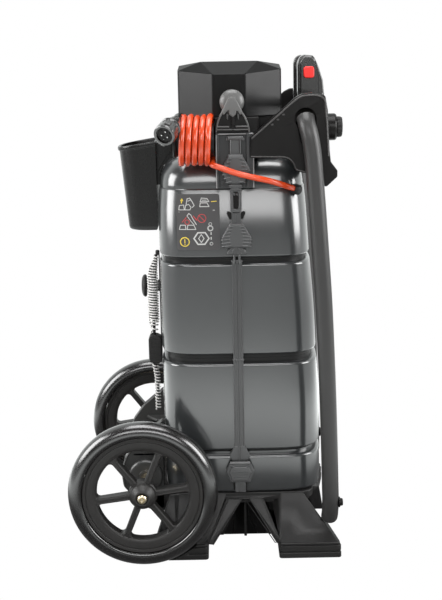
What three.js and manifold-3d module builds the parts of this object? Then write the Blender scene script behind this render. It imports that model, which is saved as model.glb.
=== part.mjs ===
// Wheeled car battery charger, modelled in millimetres.
// +X points to the rear (push handle side), -X to the front (wheel side), -Y is the near side, +Z is up.
// The origin is the middle of the footprint, on the floor.
import * as THREE from 'three';
import { mergeVertices } from 'three/addons/utils/BufferGeometryUtils.js';
import { ConvexGeometry } from 'three/addons/geometries/ConvexGeometry.js';
import Module from 'manifold-3d';

// ---------- driving dimensions ----------
const GAP = 0.35;                 // clearance kept between touching pieces
const BODY_CX = 53;               // strap line, the middle of the stack
const BODY_FRONT = 130;           // stack half length towards the front
const BODY_REAR = [[105, 141], [265, 140], [420, 131], [554, 121], [640, 117], [700, 115]]; // half length to the rear by height
const BODY_HALF_Y = 150;          // stack half width
const BODY_POWER = 5.5;           // squareness of the stack's plan
const WALL = 4;                   // case wall
const Z_BASE = [105, 171];        // base section
const Z_LOWER = [182, 333];       // lower battery case
const Z_UPPER = [349, 503];       // upper battery case
const Z_TOP = [513, 624];         // charger case
const Z_DOME = 672;               // top of the domed shoulder
const NECK_INSET = 9;             // groove depth between the cases
const WHEEL_R = 125;              // 10 inch wheel
const WHEEL_X = -110;
const WHEEL_Y = 195;              // half track
const TYRE_W = 36;
const RIM_R = 101;
const OPEN_R = 78;                // outer edge of the spoke openings
const HUB_R = 22;
const AXLE_R = 8;
const RAIL_R = 14;                // side rail tube
const RAIL_Y = 180;
const CABLE_D = 9.5;
const COIL = { x0: -31.5, x1: 18.3, y: -165, z: 705, ri: 31.5, ro: 41 };
const HEAD_Z0 = 739.2;
const HEAD_Z1 = 826;
const PIVOT = [178, 757];         // push handle pivot in X, Z
const KNOB = { y: -50, z: 715, r: 17.5 };
const PANEL_X = [175, 201];       // control panel, front and rear faces
const CUP = { x0: -144, x1: -79.4, z0: 545, z1: 687, half: 58 };
const PAD_H = 22;

// ---------- materials ----------
const mat = (c, r = 0.5, m = 0) => new THREE.MeshStandardMaterial({ color: c, roughness: r, metalness: m });
const CASE = mat(0x55585b, 0.35), HEAD = mat(0x3c3d3e, 0.6), BLACK = mat(0x1b1b1c, 0.3), STRAP = mat(0x56595b, 0.6);
const GREY = mat(0x8b8d8e, 0.5), RAIL = mat(0x3b3c3d, 0.35, 0.4), TYRE = mat(0x0e0e0f, 0.3), RIM = mat(0x333435, 0.5);
const PLINTH = mat(0x2c2d2e, 0.7), RUBBER = mat(0x1a1a1a, 0.8), ORANGE = mat(0xf0441f, 0.35), RED = mat(0xe5201c, 0.4);
const STEEL = mat(0xc8c9ca, 0.3, 1), BRASS = mat(0xb08d4a, 0.3, 1), BATTERY = mat(0x202428, 0.6), COPPER = mat(0xb06a3a, 0.3, 1);
const BOARD = mat(0x1f5a34, 0.6), ALU = mat(0xb9bcbf, 0.4, 1), LENS = mat(0x1a2430, 0.1);

// ---------- solid modelling helpers ----------
const wasm = await Module();
wasm.setup();
// merged vertices only, with the faces turned outward
function clean(g) {
  let h = g.clone();
  h.deleteAttribute('normal');
  h.deleteAttribute('uv');
  h = mergeVertices(h, 1e-4);
  const p = h.attributes.position, i = h.index.array, a = new THREE.Vector3(), b = new THREE.Vector3(), c = new THREE.Vector3();
  let vol = 0;
  for (let k = 0; k < i.length; k += 3) vol += a.fromBufferAttribute(p, i[k]).dot(b.fromBufferAttribute(p, i[k + 1]).cross(c.fromBufferAttribute(p, i[k + 2])));
  if (vol < 0) for (let k = 0; k < i.length; k += 3) { const t = i[k]; i[k] = i[k + 1]; i[k + 1] = t; }
  return h;
}
function solid(g) {
  const h = clean(g);
  const idx = h.index.array, tri = [];
  for (let i = 0; i < idx.length; i += 3) {
    const [a, b, c] = [idx[i], idx[i + 1], idx[i + 2]];
    if (a !== b && b !== c && c !== a) tri.push(a, b, c);
  }
  return new wasm.Manifold(new wasm.Mesh({ numProp: 3, vertProperties: new Float32Array(h.attributes.position.array), triVerts: new Uint32Array(tri) }));
}
function geo(s) {
  const m = s.getMesh();
  const g = new THREE.BufferGeometry();
  g.setAttribute('position', new THREE.BufferAttribute(new Float32Array(m.vertProperties), 3));
  g.setIndex(new THREE.BufferAttribute(new Uint32Array(m.triVerts), 1));
  return g;
}
const join = (...gs) => geo(gs.map(solid).reduce((a, b) => a.add(b)));
const cut = (g, ...tools) => geo(tools.map(solid).reduce((a, b) => a.subtract(b), solid(g)));
const V2 = (p) => p.map(([a, b]) => new THREE.Vector2(a, b));
const shape = (pts) => new THREE.Shape(V2(pts));
function extrude(pts, len, bevel = 0, seg = 2, thick = bevel) {
  return new THREE.ExtrudeGeometry(shape(pts), bevel
    ? { depth: len - 2 * thick, bevelEnabled: true, bevelThickness: thick, bevelSize: bevel, bevelOffset: -bevel, bevelSegments: seg, steps: 1 }
    : { depth: len, bevelEnabled: false, steps: 1 }).translate(0, 0, bevel ? thick : 0);
}
// outline in X, Z pushed along Y
const slabY = (pts, y0, y1, bevel = 0, seg = 2) => extrude(pts, y1 - y0, bevel, seg).rotateX(Math.PI / 2).translate(0, y1, 0);
// outline in X, Y pushed along Z
const slabZ = (pts, z0, z1, bevel = 0, seg = 2, thick = bevel) => extrude(pts, z1 - z0, bevel, seg, thick).translate(0, 0, z0);
// outline in Y, Z pushed along X
const slabX = (pts, x0, x1, bevel = 0, seg = 2) => extrude(pts, x1 - x0, bevel, seg)
  .applyMatrix4(new THREE.Matrix4().makeBasis(new THREE.Vector3(0, 1, 0), new THREE.Vector3(0, 0, 1), new THREE.Vector3(1, 0, 0))).translate(x0, 0, 0);
const rect = (a0, a1, b0, b1) => [[a0, b0], [a1, b0], [a1, b1], [a0, b1]];
function roundRect(a0, a1, b0, b1, r, n = 4) {
  const out = [];
  for (const [cx, cy, t0] of [[a1 - r, b0 + r, -90], [a1 - r, b1 - r, 0], [a0 + r, b1 - r, 90], [a0 + r, b0 + r, 180]])
    for (let i = 0; i <= n; i++) { const t = (t0 + 90 * i / n) * Math.PI / 180; out.push([cx + r * Math.cos(t), cy + r * Math.sin(t)]); }
  return out;
}
const circle = (cx, cy, r, n = 24) => Array.from({ length: n }, (_, i) => [cx + r * Math.cos(2 * Math.PI * i / n), cy + r * Math.sin(2 * Math.PI * i / n)]);
const box = (x0, x1, y0, y1, z0, z1) => new THREE.BoxGeometry(x1 - x0, y1 - y0, z1 - z0).translate((x0 + x1) / 2, (y0 + y1) / 2, (z0 + z1) / 2);
// turned shape about a line along Y: pairs of radius and y
const turnY = (prof, x, z, n = 24) => new THREE.LatheGeometry(V2(prof), n).translate(x, 0, z);
// turned shape about a line along X: pairs of radius and x
const turnX = (prof, y, z, n = 24) => new THREE.LatheGeometry(V2(prof), n).rotateZ(-Math.PI / 2).translate(0, y, z);
const rodY = (r, y0, y1, x, z, n = 24) => turnY([[0, y0], [r, y0], [r, y1], [0, y1]], x, z, n);
const rodX = (r, x0, x1, y, z, n = 24) => turnX([[0, x0], [r, x0], [r, x1], [0, x1]], y, z, n);
const tube = (pts, r, steps, n = 10, tension = 0.5) => new THREE.ExtrudeGeometry(new THREE.Shape(V2(circle(0, 0, r, n))), {
  steps, bevelEnabled: false, extrudePath: new THREE.CatmullRomCurve3(pts.map((p) => new THREE.Vector3(...p)), false, 'centripetal', tension) });
// closed skin through rings of points, both ends closed by a fan
function loft(rings) {
  const n = rings[0].length, v = rings.flat(2), tri = [], last = (rings.length - 1) * n;
  for (let r = 0; r + 1 < rings.length; r++) for (let i = 0; i < n; i++) {
    const a = r * n + i, b = r * n + (i + 1) % n;
    tri.push(a, b, b + n, a, b + n, a + n);
  }
  const middle = (k) => { const c = [0, 1, 2].map((j) => rings[k].reduce((t, p) => t + p[j], 0) / n); v.push(...c); return v.length / 3 - 1; };
  const c0 = middle(0), c1 = middle(rings.length - 1);
  for (let i = 0; i < n; i++) { const j = (i + 1) % n; tri.push(c0, j, i, c1, last + i, last + j); }
  const g = new THREE.BufferGeometry();
  g.setAttribute('position', new THREE.BufferAttribute(new Float32Array(v), 3));
  g.setIndex(tri);
  return g;
}
const mirrorY = (g) => clean(g.clone().scale(1, -1, 1));
function warp(g, fn) {
  const p = g.attributes.position, v = new THREE.Vector3();
  for (let i = 0; i < p.count; i++) { v.fromBufferAttribute(p, i); fn(v); p.setXYZ(i, v.x, v.y, v.z); }
  return g;
}
const root = new THREE.Group();
function add(name, g, material) {
  const h = clean(g);
  h.computeVertexNormals();
  const m = new THREE.Mesh(h, material);
  m.name = name;
  root.add(m);
}
const pair = (name, g, material) => { add(name + '_near', g, material); add(name + '_far', mirrorY(g), material); };

// ---------- the stack of cases ----------
function lerp(table, z) {
  if (z <= table[0][0]) return table[0][1];
  for (let i = 1; i < table.length; i++) if (z <= table[i][0]) {
    const [z0, v0] = table[i - 1], [z1, v1] = table[i];
    return v0 + (v1 - v0) * (z - z0) / (z1 - z0);
  }
  return table[table.length - 1][1];
}
function plan(inset, n = 24) {
  const a = BODY_FRONT - inset, b = BODY_HALF_Y - inset, e = 2 / BODY_POWER;
  return Array.from({ length: n }, (_, i) => {
    const t = 2 * Math.PI * (i + 0.5) / n, c = Math.cos(t), s = Math.sin(t);
    return [a * Math.sign(c) * Math.abs(c) ** e, b * Math.sign(s) * Math.abs(s) ** e];
  });
}
// the plan is symmetric about the strap line, then its rear half is stretched to the rear length for that height
const toBody = (g) => warp(g, (v) => { if (v.x > 0) v.x *= lerp(BODY_REAR, v.z) / BODY_FRONT; v.x += BODY_CX; });
const layer = (inset, z0, z1, bevel = 0, seg = 2, thick = bevel) => slabZ(plan(inset), z0, z1, bevel, seg, thick);
const hollow = (z0, z1, inset = NECK_INSET + WALL) => slabZ(plan(inset, 12), z0, z1);
{
  const b = toBody(geo(solid(layer(0, Z_BASE[0], Z_BASE[1], 9)).add(solid(layer(NECK_INSET, 160, 176.4)))
    .subtract(solid(hollow(Z_BASE[0] + 6, 190)))));
  add('base_section', b, CASE);
  const c = toBody(geo(solid(layer(0, Z_LOWER[0], Z_LOWER[1], 9)).add(solid(layer(NECK_INSET, 176.8, 341)))
    .subtract(solid(hollow(176.8 + WALL, 350)))));
  add('lower_battery_case', c, CASE);
  const d = toBody(geo(solid(layer(0, Z_UPPER[0], Z_UPPER[1], 9)).add(solid(layer(NECK_INSET, 341.4, 508)))
    .subtract(solid(hollow(341.4 + WALL, 520))).subtract(solid(box(-96, -72, -16, 16, 338, 350)))));
  add('upper_battery_case', d, CASE);
  const e = toBody(geo(solid(layer(0, Z_TOP[0], Z_TOP[1] + 2, 9)).add(solid(layer(NECK_INSET, 508.4, 540)))
    .add(solid(layer(4, 560, Z_DOME, 34, 3, 44)))
    .subtract(solid(hollow(500, 630))).subtract(solid(hollow(560, Z_DOME - WALL, 42)))));
  add('charger_case', e, CASE);
}
// batteries, each a block with two terminal posts
for (const [name, z] of [['lower_battery', 183], ['upper_battery', 348]])
  add(name, join(box(-20, 128, -112, 112, z, z + 128), rodZ(8, z + 120, z + 140, 10, -80), rodZ(8, z + 120, z + 140, 10, 80)), BATTERY);
function rodZ(r, z0, z1, x, y, n = 12) { return new THREE.CylinderGeometry(r, r, z1 - z0, n).rotateX(Math.PI / 2).translate(x, y, (z0 + z1) / 2); }
add('bus_bar', join(box(-36, -30, -12, 12, 215, 560), box(-36, -22, -12, 12, 552, 560)), COPPER);
add('transformer', join(box(10, 100, -55, 55, 112, 168), rodZ(26, 150, 174, 55, 0, 16)), ALU);
add('charger_circuit_board', join(box(-20, 120, -110, 110, 520, 523), box(0, 40, -90, -40, 522, 556), box(60, 108, -90, -30, 522, 548), box(-8, 30, 20, 90, 522, 545)), BOARD);
// cooling fan: square frame with a round duct, and a rotor turning about a vertical line
add('fan_frame', cut(slabZ(rect(13, 93, -40, 40), 600, 622), rodZ(36, 590, 630, 53, 0, 16)), BLACK);
{
  const parts = [rodZ(13, 603, 619, 53, 0, 16)];
  for (let i = 0; i < 7; i++)
    parts.push(new THREE.BoxGeometry(24, 2, 12).rotateX(0.6).translate(21, 0, 0).rotateZ(2 * Math.PI * i / 7).translate(53, 0, 611));
  add('cooling_fan', join(...parts), BLACK);
}

// ---------- plinth and feet ----------
const hull = (pts) => new ConvexGeometry(pts.map((p) => new THREE.Vector3(...p)));
const prism = (x0, x1, y0, y1, z0, X0, X1, Y0, Y1, z1) => hull([[x0, y0, z0], [x1, y0, z0], [x1, y1, z0], [x0, y1, z0], [X0, Y0, z1], [X1, Y0, z1], [X1, Y1, z1], [X0, Y1, z1]]);
const wheelWell = (s) => rodY(WHEEL_R + 6, s < 0 ? -230 : 172, s < 0 ? -172 : 230, WHEEL_X, WHEEL_R, 32);
const railPath = [[164.5, -166, 737], [166, -174.5, 727], [169.5, -179.5, 713], [174, -RAIL_Y, 687], [180.8, -RAIL_Y, 608], [186.5, -RAIL_Y, 528], [192, -RAIL_Y, 446], [196, -RAIL_Y, 362], [199.4, -RAIL_Y, 277], [201.9, -RAIL_Y, 190], [203.3, -RAIL_Y, 130], [204, -179, 98], [203.6, -174, 76], [202.5, -166, 60]];
{
  const legF = cut(prism(-95, -5, -187, -66, PAD_H + GAP, -68, 21, -150, -60, 103), box(-110, -77.4, -114, -94, 57.6, 120));
  const legR = hull([[119, -187, PAD_H + GAP], [221, -187, PAD_H + GAP], [195, -66, PAD_H + GAP], [119, -66, PAD_H + GAP], [86, -150, 103], [160, -150, 103], [138, -60, 103], [86, -60, 103]]);
  const slab = slabZ(roundRect(-68, 178, -150, 150, 22, 4), 84, 104.6, 3);
  const core = cut(box(-58, 178, -80, 80, 4, 90), box(-34, 172, -74, 74, -10, 80));
  const rib = (x0, x1) => hull([[x0, -83, 6], [x0 + 9, -83, 6], [x1, -83, 88], [x1 + 5, -83, 88], [x0, -79, 6], [x0 + 9, -79, 6], [x1, -79, 88], [x1 + 5, -79, 88]]);
  let s = solid(core).add(solid(slab));
  for (const g of [legF, legR, rib(18, 48), rib(84, 62)]) s = s.add(solid(g)).add(solid(mirrorY(g)));
  s = s.subtract(solid(wheelWell(-1))).subtract(solid(wheelWell(1)));
  const railCut = tube(railPath, RAIL_R + 1, 20, 10);
  s = s.subtract(solid(railCut)).subtract(solid(mirrorY(railCut)));
  s = s.subtract(solid(box(-200, -40, -140, 140, -1, 60)));
  add('plinth', geo(s), PLINTH);
  const padF = geo(solid(slabZ(roundRect(-61, -3, -188.5, -82, 6, 2), 0, PAD_H, 2, 1)).add(solid(slabZ(roundRect(-94, -30, -188.5, -141, 6, 2), 0, PAD_H, 2, 1)))
    .subtract(solid(wheelWell(-1))).subtract(solid(box(-62, -2, -192, -60, 10, 11.6)).subtract(solid(box(-130, -5, -186.5, -50, 9, 12)))));
  pair('foot_pad_front', padF, RUBBER);
  const padR = geo(solid(slabZ(roundRect(117, 223, -188.5, -82, 6, 2), 0, PAD_H, 2, 1)).subtract(solid(box(110, 230, -192, -60, 10, 11.6)).subtract(solid(box(119, 221, -186.5, -60, 9, 12)))));
  pair('foot_pad_rear', padR, RUBBER);
}

// ---------- wheels ----------
{
  const h = TYRE_W / 2;
  const rim = turnY([[OPEN_R, -9], [88, -14], [RIM_R, -14], [RIM_R, 14], [88, 14], [OPEN_R, 9], [OPEN_R, -9]], 0, 0, 30);
  const hub = turnY([[AXLE_R + GAP, -15], [HUB_R, -15], [HUB_R, 15], [AXLE_R + GAP, 15], [AXLE_R + GAP, -15]], 0, 0, 20);
  const parts = [rim, hub];
  for (let i = 0; i < 6; i++) {
    const sp = slabY([[18, -5.5], [60, -4.5], [84, -11], [84, 11], [60, 4.5], [18, 5.5]], -8, 8);
    parts.push(sp.rotateY(-(8 + 60 * i) * Math.PI / 180));
  }
  const wheel = join(...parts).translate(WHEEL_X, -WHEEL_Y, WHEEL_R);
  pair('wheel', wheel, RIM);
  const tyre = turnY([[RIM_R + GAP, -h + 2], [112, -h], [121, -h + 4.5], [WHEEL_R, -6], [WHEEL_R, 6], [121, h - 4.5], [112, h], [RIM_R + GAP, h - 2], [RIM_R + GAP, -h + 2]], 0, 0, 30).translate(WHEEL_X, -WHEEL_Y, WHEEL_R);
  pair('tyre', tyre, TYRE);
  const yc = -WHEEL_Y - 15 - GAP;
  const cap = turnY([[AXLE_R + GAP, yc], [HUB_R - 1, yc], [12, yc - 10.5], [AXLE_R + GAP, yc - 10.5], [AXLE_R + GAP, yc]], WHEEL_X, WHEEL_R, 16);
  pair('hub_cap', cap, RIM);
  add('axle', turnY([[0, -225], [4.5, -224.5], [AXLE_R, -221.5], [AXLE_R, 221.5], [4.5, 224.5], [0, 225]], WHEEL_X, WHEEL_R, 16), BRASS);
  const arm = slabY([[-77.8, 226], [-96, 211], [-124, 188], [-146, 158], [-153, 130], [-150, 104], [-134, 86], [-114, 66], [-100, 59], [-77.8, 58]], -112, -96, 2.5, 1);
  const boss = turnY([[0, -124], [27, -124], [30, -121], [30, -86], [0, -86]], WHEEL_X, WHEEL_R, 20);
  const shelf = hull([[-77.8, -112, 160], [-132, -112, 160], [-77.8, -70, 160], [-100, -70, 160], [-77.8, -112, 166], [-132, -112, 166], [-77.8, -70, 166], [-100, -70, 166]]);
  pair('axle_bracket', cut(join(arm, boss, shelf), rodY(AXLE_R + GAP, -300, 0, WHEEL_X, WHEEL_R, 16)), BLACK);
}

// ---------- dock and power head ----------
add('head_dock', cut(join(box(-30, 128, -104, 104, Z_DOME + GAP, 738.8), box(20, 92, -149.6, 149.6, 676, 738.8)),
  box(-26, 124, -100, 100, 600, 800), box(24, 88, -145, 145, 680, 800)), BLACK);
{
  const half = (s) => [
    [0, s * 104, HEAD_Z1], [92, s * 104, HEAD_Z1],
    [20, s * 142, 806], [70, s * 142, 806],
    [-36, s * 72, 820], [129, s * 72, 820],
    [20, s * 139, HEAD_Z0], [70, s * 139, HEAD_Z0],
    [-38, s * 92, 812], [131, s * 92, 812],
    [-38, s * 94, HEAD_Z0], [131, s * 94, HEAD_Z0]];
  const outer = hull([...half(-1), ...half(1)]);
  const inner = outer.clone().translate(-46.5, 0, -780).scale(0.94, 0.95, 0.9).translate(46.5, 0, 779);
  const below = box(-32, 125, -88, 88, 720, 760);
  add('power_head', cut(outer, inner, below), HEAD);
  add('head_circuit_board', join(box(0, 100, -60, 60, 750, 753), box(10, 50, -40, 0, 752, 775), box(60, 90, -30, 30, 752, 768)), BOARD);
}
// stirrup: round disc held by a forked bail that turns on its foot bar
const STIRRUP = { y: -158, z: 720.5 };
{
  const frame = geo(solid(slabY([[34, 772], [64, 772], [76, 727], [76, 717.8], [22, 717.8], [22, 727]], -161, -155))
    .subtract(solid(slabY([[43, 748], [55, 748], [69, 727], [29, 727]], -170, -150))));
  const foot = rodX(3.4, 22, 76, STIRRUP.y, STIRRUP.z, 8);
  const disc = turnY([[0, -169], [12, -167.6], [19.5, -161], [19.5, -154], [12, -147], [0, -147]], 49, 763.5, 16);
  const prong = (x) => slabY(rect(x - 2, x + 2, 719, 752), -162, -156);
  pair('stirrup', join(frame, foot, disc, prong(45), prong(53)), GREY);
}
// strap plate: upright channel in front of the dock
pair('strap_plate', join(slabY(rect(22, 76, 627, 714.5), -157, -150.4, 1, 1), slabZ(roundRect(22, 27, -163, -150.4, 1.5, 1), 627, 714.5), slabZ(roundRect(70, 76, -163, -150.4, 1.5, 1), 627, 714.5)), STRAP);

// ---------- straps ----------
const hex = (cx, z0, z1, top, mid, bot, zm) => [[cx - bot / 2, z0], [cx + bot / 2, z0], [cx + mid / 2, zm], [cx + top / 2, z1], [cx - top / 2, z1], [cx - mid / 2, zm]];
function grip(cx, z0, z1, y0, y1, top, mid, bot, zm, ribs) {
  let s = solid(slabY(hex(cx, z0, z1, top, mid, bot, zm), y0, y1, 2, 1));
  for (let i = 0; i < ribs; i++) {
    const z = z0 + 5 + (z1 - z0 - 10) * i / (ribs - 1);
    s = s.subtract(solid(box(cx - mid, cx - mid * 0.22, y0 - 5, y0 + 1.6, z - 1.1, z + 1.1))).subtract(solid(box(cx + mid * 0.22, cx + mid, y0 - 5, y0 + 1.6, z - 1.1, z + 1.1)));
  }
  return geo(s);
}
{
  const cx = 53;
  const upper = join(
    slabY(rect(cx - 9, cx + 9, 676, 708), -164.5, -157.35),
    slabY(roundRect(cx - 13, cx + 13, 704, 711, 2, 1), -167, -157.35),
    grip(cx, 636, 680, -173, -163.5, 22, 45, 26, 659, 4),
    slabY(rect(cx - 6, cx + 6, 624, 640), -164.5, -158),
    slabY(roundRect(cx - 10, cx + 10, 628, 634, 2, 1), -165.5, -157.6));
  const loop = geo(solid(slabY(roundRect(cx - 9, cx + 9, 588, 630, 8, 3), -162, -157.6, 1.2, 1)).subtract(solid(slabY(roundRect(cx - 4, cx + 4, 594, 622, 3.5, 2), -170, -150))));
  pair('upper_strap', join(upper, loop), STRAP);
  // clip plate, second strap with its grip, then the long ribbed run down both battery cases
  const yb = -150.6;
  const lower = [
    slabY([[cx - 15, 581], [cx + 15, 581], [cx + 12, 587.2], [cx - 12, 587.2]], -156, yb),
    slabY(rect(cx - 8, cx + 8, 556, 584), -155, yb),
    grip(cx, 531, 570, -164, yb, 20, 48, 44, 547, 4),
    slabY([[cx - 15, 519], [cx + 15, 519], [cx + 15, 531.5], [cx - 15, 531.5]], -159, yb, 1.2, 1),
    slabY(rect(cx - 6, cx + 6, 500, 525), -154, yb),
    slabY(rect(cx - 8.4, cx + 8.4, 186, 505), -153.4, yb),
    slabY(rect(cx - 2, cx + 2, 186, 505), -155.4, yb),
    slabY([[cx - 10, 156], [cx + 10, 156], [cx + 16, 171], [cx + 16, 173], [cx + 8.4, 188], [cx - 8.4, 188], [cx - 16, 173], [cx - 16, 171]], -154, yb)];
  pair('lower_strap', join(...lower), STRAP);
  pair('strap_latch', join(grip(cx, 128, 164, -166, -156.6, 34, 48, 34, 148, 4), slabY(rect(cx - 9, cx + 9, 110, 132), -161, -157, 1, 1), rodX(3.4, cx - 17, cx + 17, -159.8, 161.5, 10)), STRAP);
}

// ---------- output cable, reel and connector ----------
{
  const reel = turnX([[0, -45], [24, -45], [27, -43], [27, -39], [25, -37.5], [26, COIL.x0 - 1], [26, 19.6], [0, 19.6]], COIL.y, COIL.z, 20);
  add('cable_reel', reel, BLACK);
  add('output_cable_coil', turnX([[COIL.ri, COIL.x0], [COIL.ro, COIL.x0], [COIL.ro, COIL.x1], [COIL.ri, COIL.x1], [COIL.ri, COIL.x0]], COIL.y, COIL.z, 24), ORANGE);
  const lead = [[20.2, -184, 667.4], [34, -182.4, 660.6], [56, -180.6, 652.6], [82, -178.8, 645.8], [106, -173.6, 639.6], [126, -164, 632.4], [139, -154, 627], [145.5, -147.2, 624]];
  add('output_cable_lead', tube(lead, CABLE_D / 2, 16, 8), ORANGE);
  // gland: a short collar on the shoulder of the charger case, its mouth towards the cable
  const g = new THREE.LatheGeometry(V2([[0, 0], [6.2, 0], [7.4, 2], [8.4, 5], [8.4, 14], [0, 14]]), 12);
  const from = new THREE.Vector3(145.2, -147.6, 624.2), dir = new THREE.Vector3(0.66, 0.7, -0.28).normalize();
  g.applyQuaternion(new THREE.Quaternion().setFromUnitVectors(new THREE.Vector3(0, 1, 0), dir)).translate(from.x, from.y, from.z);
  const shell = toBody(layer(-GAP, Z_TOP[0], Z_TOP[1] + 2.4, 9)), shell2 = toBody(layer(4 - GAP, 560, Z_DOME + GAP, 34, 3, 44));
  add('cable_gland', cut(g, shell, shell2, tube(lead, CABLE_D / 2 + GAP, 16, 8)), BLACK);
  // connector: round shell with a socket face, a ribbed barrel and a tapered boot ending beside the wound turns
  const F = new THREE.Vector3(-56, -229, 717), B = new THREE.Vector3(-38.4, -181, 738);
  const L = F.distanceTo(B);
  const c = new THREE.LatheGeometry(V2([[0, 2], [9, 2], [9, 6], [13.5, 6], [13.5, 0], [16.5, 0], [17, 3], [17, 14], [15, 16], [15, 26], [17, 29], [12, 38], [7, L], [0, L]]), 14);
  // index key along the top of the shell
  const s = solid(c).add(solid(new THREE.BoxGeometry(6, 14, 5).translate(0, 9, 17.3)));
  const cg = geo(s);
  cg.applyQuaternion(new THREE.Quaternion().setFromUnitVectors(new THREE.Vector3(0, 1, 0), B.clone().sub(F).normalize())).translate(F.x, F.y, F.z);
  add('output_connector', cg, BLACK);
}

// ---------- front: cup, hook, curly lead ----------
{
  const c = CUP, xc = c.x1;
  const outline = (d) => {
    const out = [], a = c.x1 - c.x0 - 2 * d, b = c.half - d;
    for (let i = 0; i <= 12; i++) { const t = Math.PI / 2 + Math.PI * i / 12; out.push([xc - d + a * Math.sign(Math.cos(t)) * Math.abs(Math.cos(t)) ** 0.62, b * Math.sign(Math.sin(t)) * Math.abs(Math.sin(t)) ** 0.55]); }
    return out;
  };
  // rings of one outline, each tapered for its height, joined into a hollow cup with a rolled lip
  const ring = (d, z) => outline(d).map(([x, y]) => {
    const k = (c.z1 - z) / (c.z1 - c.z0), back = xc - Math.max(d, 0);
    // the mouth rises towards the case
    return [back + (Math.min(x, back) - back) * (1 - 0.20 * k), y * (1 - 0.13 * k), z + Math.max(0, x - c.x0) * 0.155 * (1 - k)];
  });
  const cup = loft([[2, c.z0], [0, c.z0 + 2], [0, c.z1 - 8], [-2.5, c.z1 - 6.5], [-2.5, c.z1 - 1.5], [-1, c.z1], [3, c.z1], [3, c.z0 + 4]].map(([d, z]) => ring(d, z)));
  // hanger that reaches over the shoulder of the charger case
  const hanger = cut(slabY([[-81.4, 622], [-81.4, 694], [-52, 694], [-52, 622]], -40, 40), toBody(layer(-GAP, Z_TOP[0], Z_TOP[1] + 2.4, 9)), toBody(layer(4 - GAP, 560, Z_DOME + GAP, 34, 3, 44)));
  add('cup_holder', join(cup, hanger), BLACK);
  add('front_hook', turnX([[0, -114], [14, -114], [18, -112], [20, -108.5], [18, -105], [9, -103.5], [8, -98], [10, -77.6], [0, -77.6]], 0, 439, 16), BLACK);
  const ease = (t) => { const k = Math.min(1, Math.max(0, t)); return k * k * (3 - 2 * k); };
  const leadX = (z) => -88 - 3 * ease((z - 288) / 24) + 7 * ease((z - 470) / 35);
  const prof = [[0, 227], [4, 227]];
  for (let z = 232; z <= 304; z += 36) prof.push([5.6 + (z - 232) * 0.012, z]);
  prof.push([6.6, 318], [6.6, 362], [7.2, 372], [10, 386], [10, 408], [10, 430], [10, 452], [10, 470], [8.3, 484], [6.1, 492], [4.4, 499], [4, 505], [0, 505]);
  add('curly_lead', warp(new THREE.LatheGeometry(V2(prof), 10).rotateX(Math.PI / 2).translate(0, -60, 0), (v) => { v.x += leadX(v.z); }), STEEL);
  // clip and inlet block on one backing strip
  add('lead_clip', join(cut(slabZ(roundRect(-101, -77.8, -71, -49, 5, 2), 313, 366), rodZ(7.4, 300, 380, -91, -60, 14)),
    slabZ(roundRect(-89, -77.8, -66, -54, 4, 2), 505.4, 516), box(-79.3, -77.8, -65, -55, 360, 510)), BLACK);
}

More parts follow.
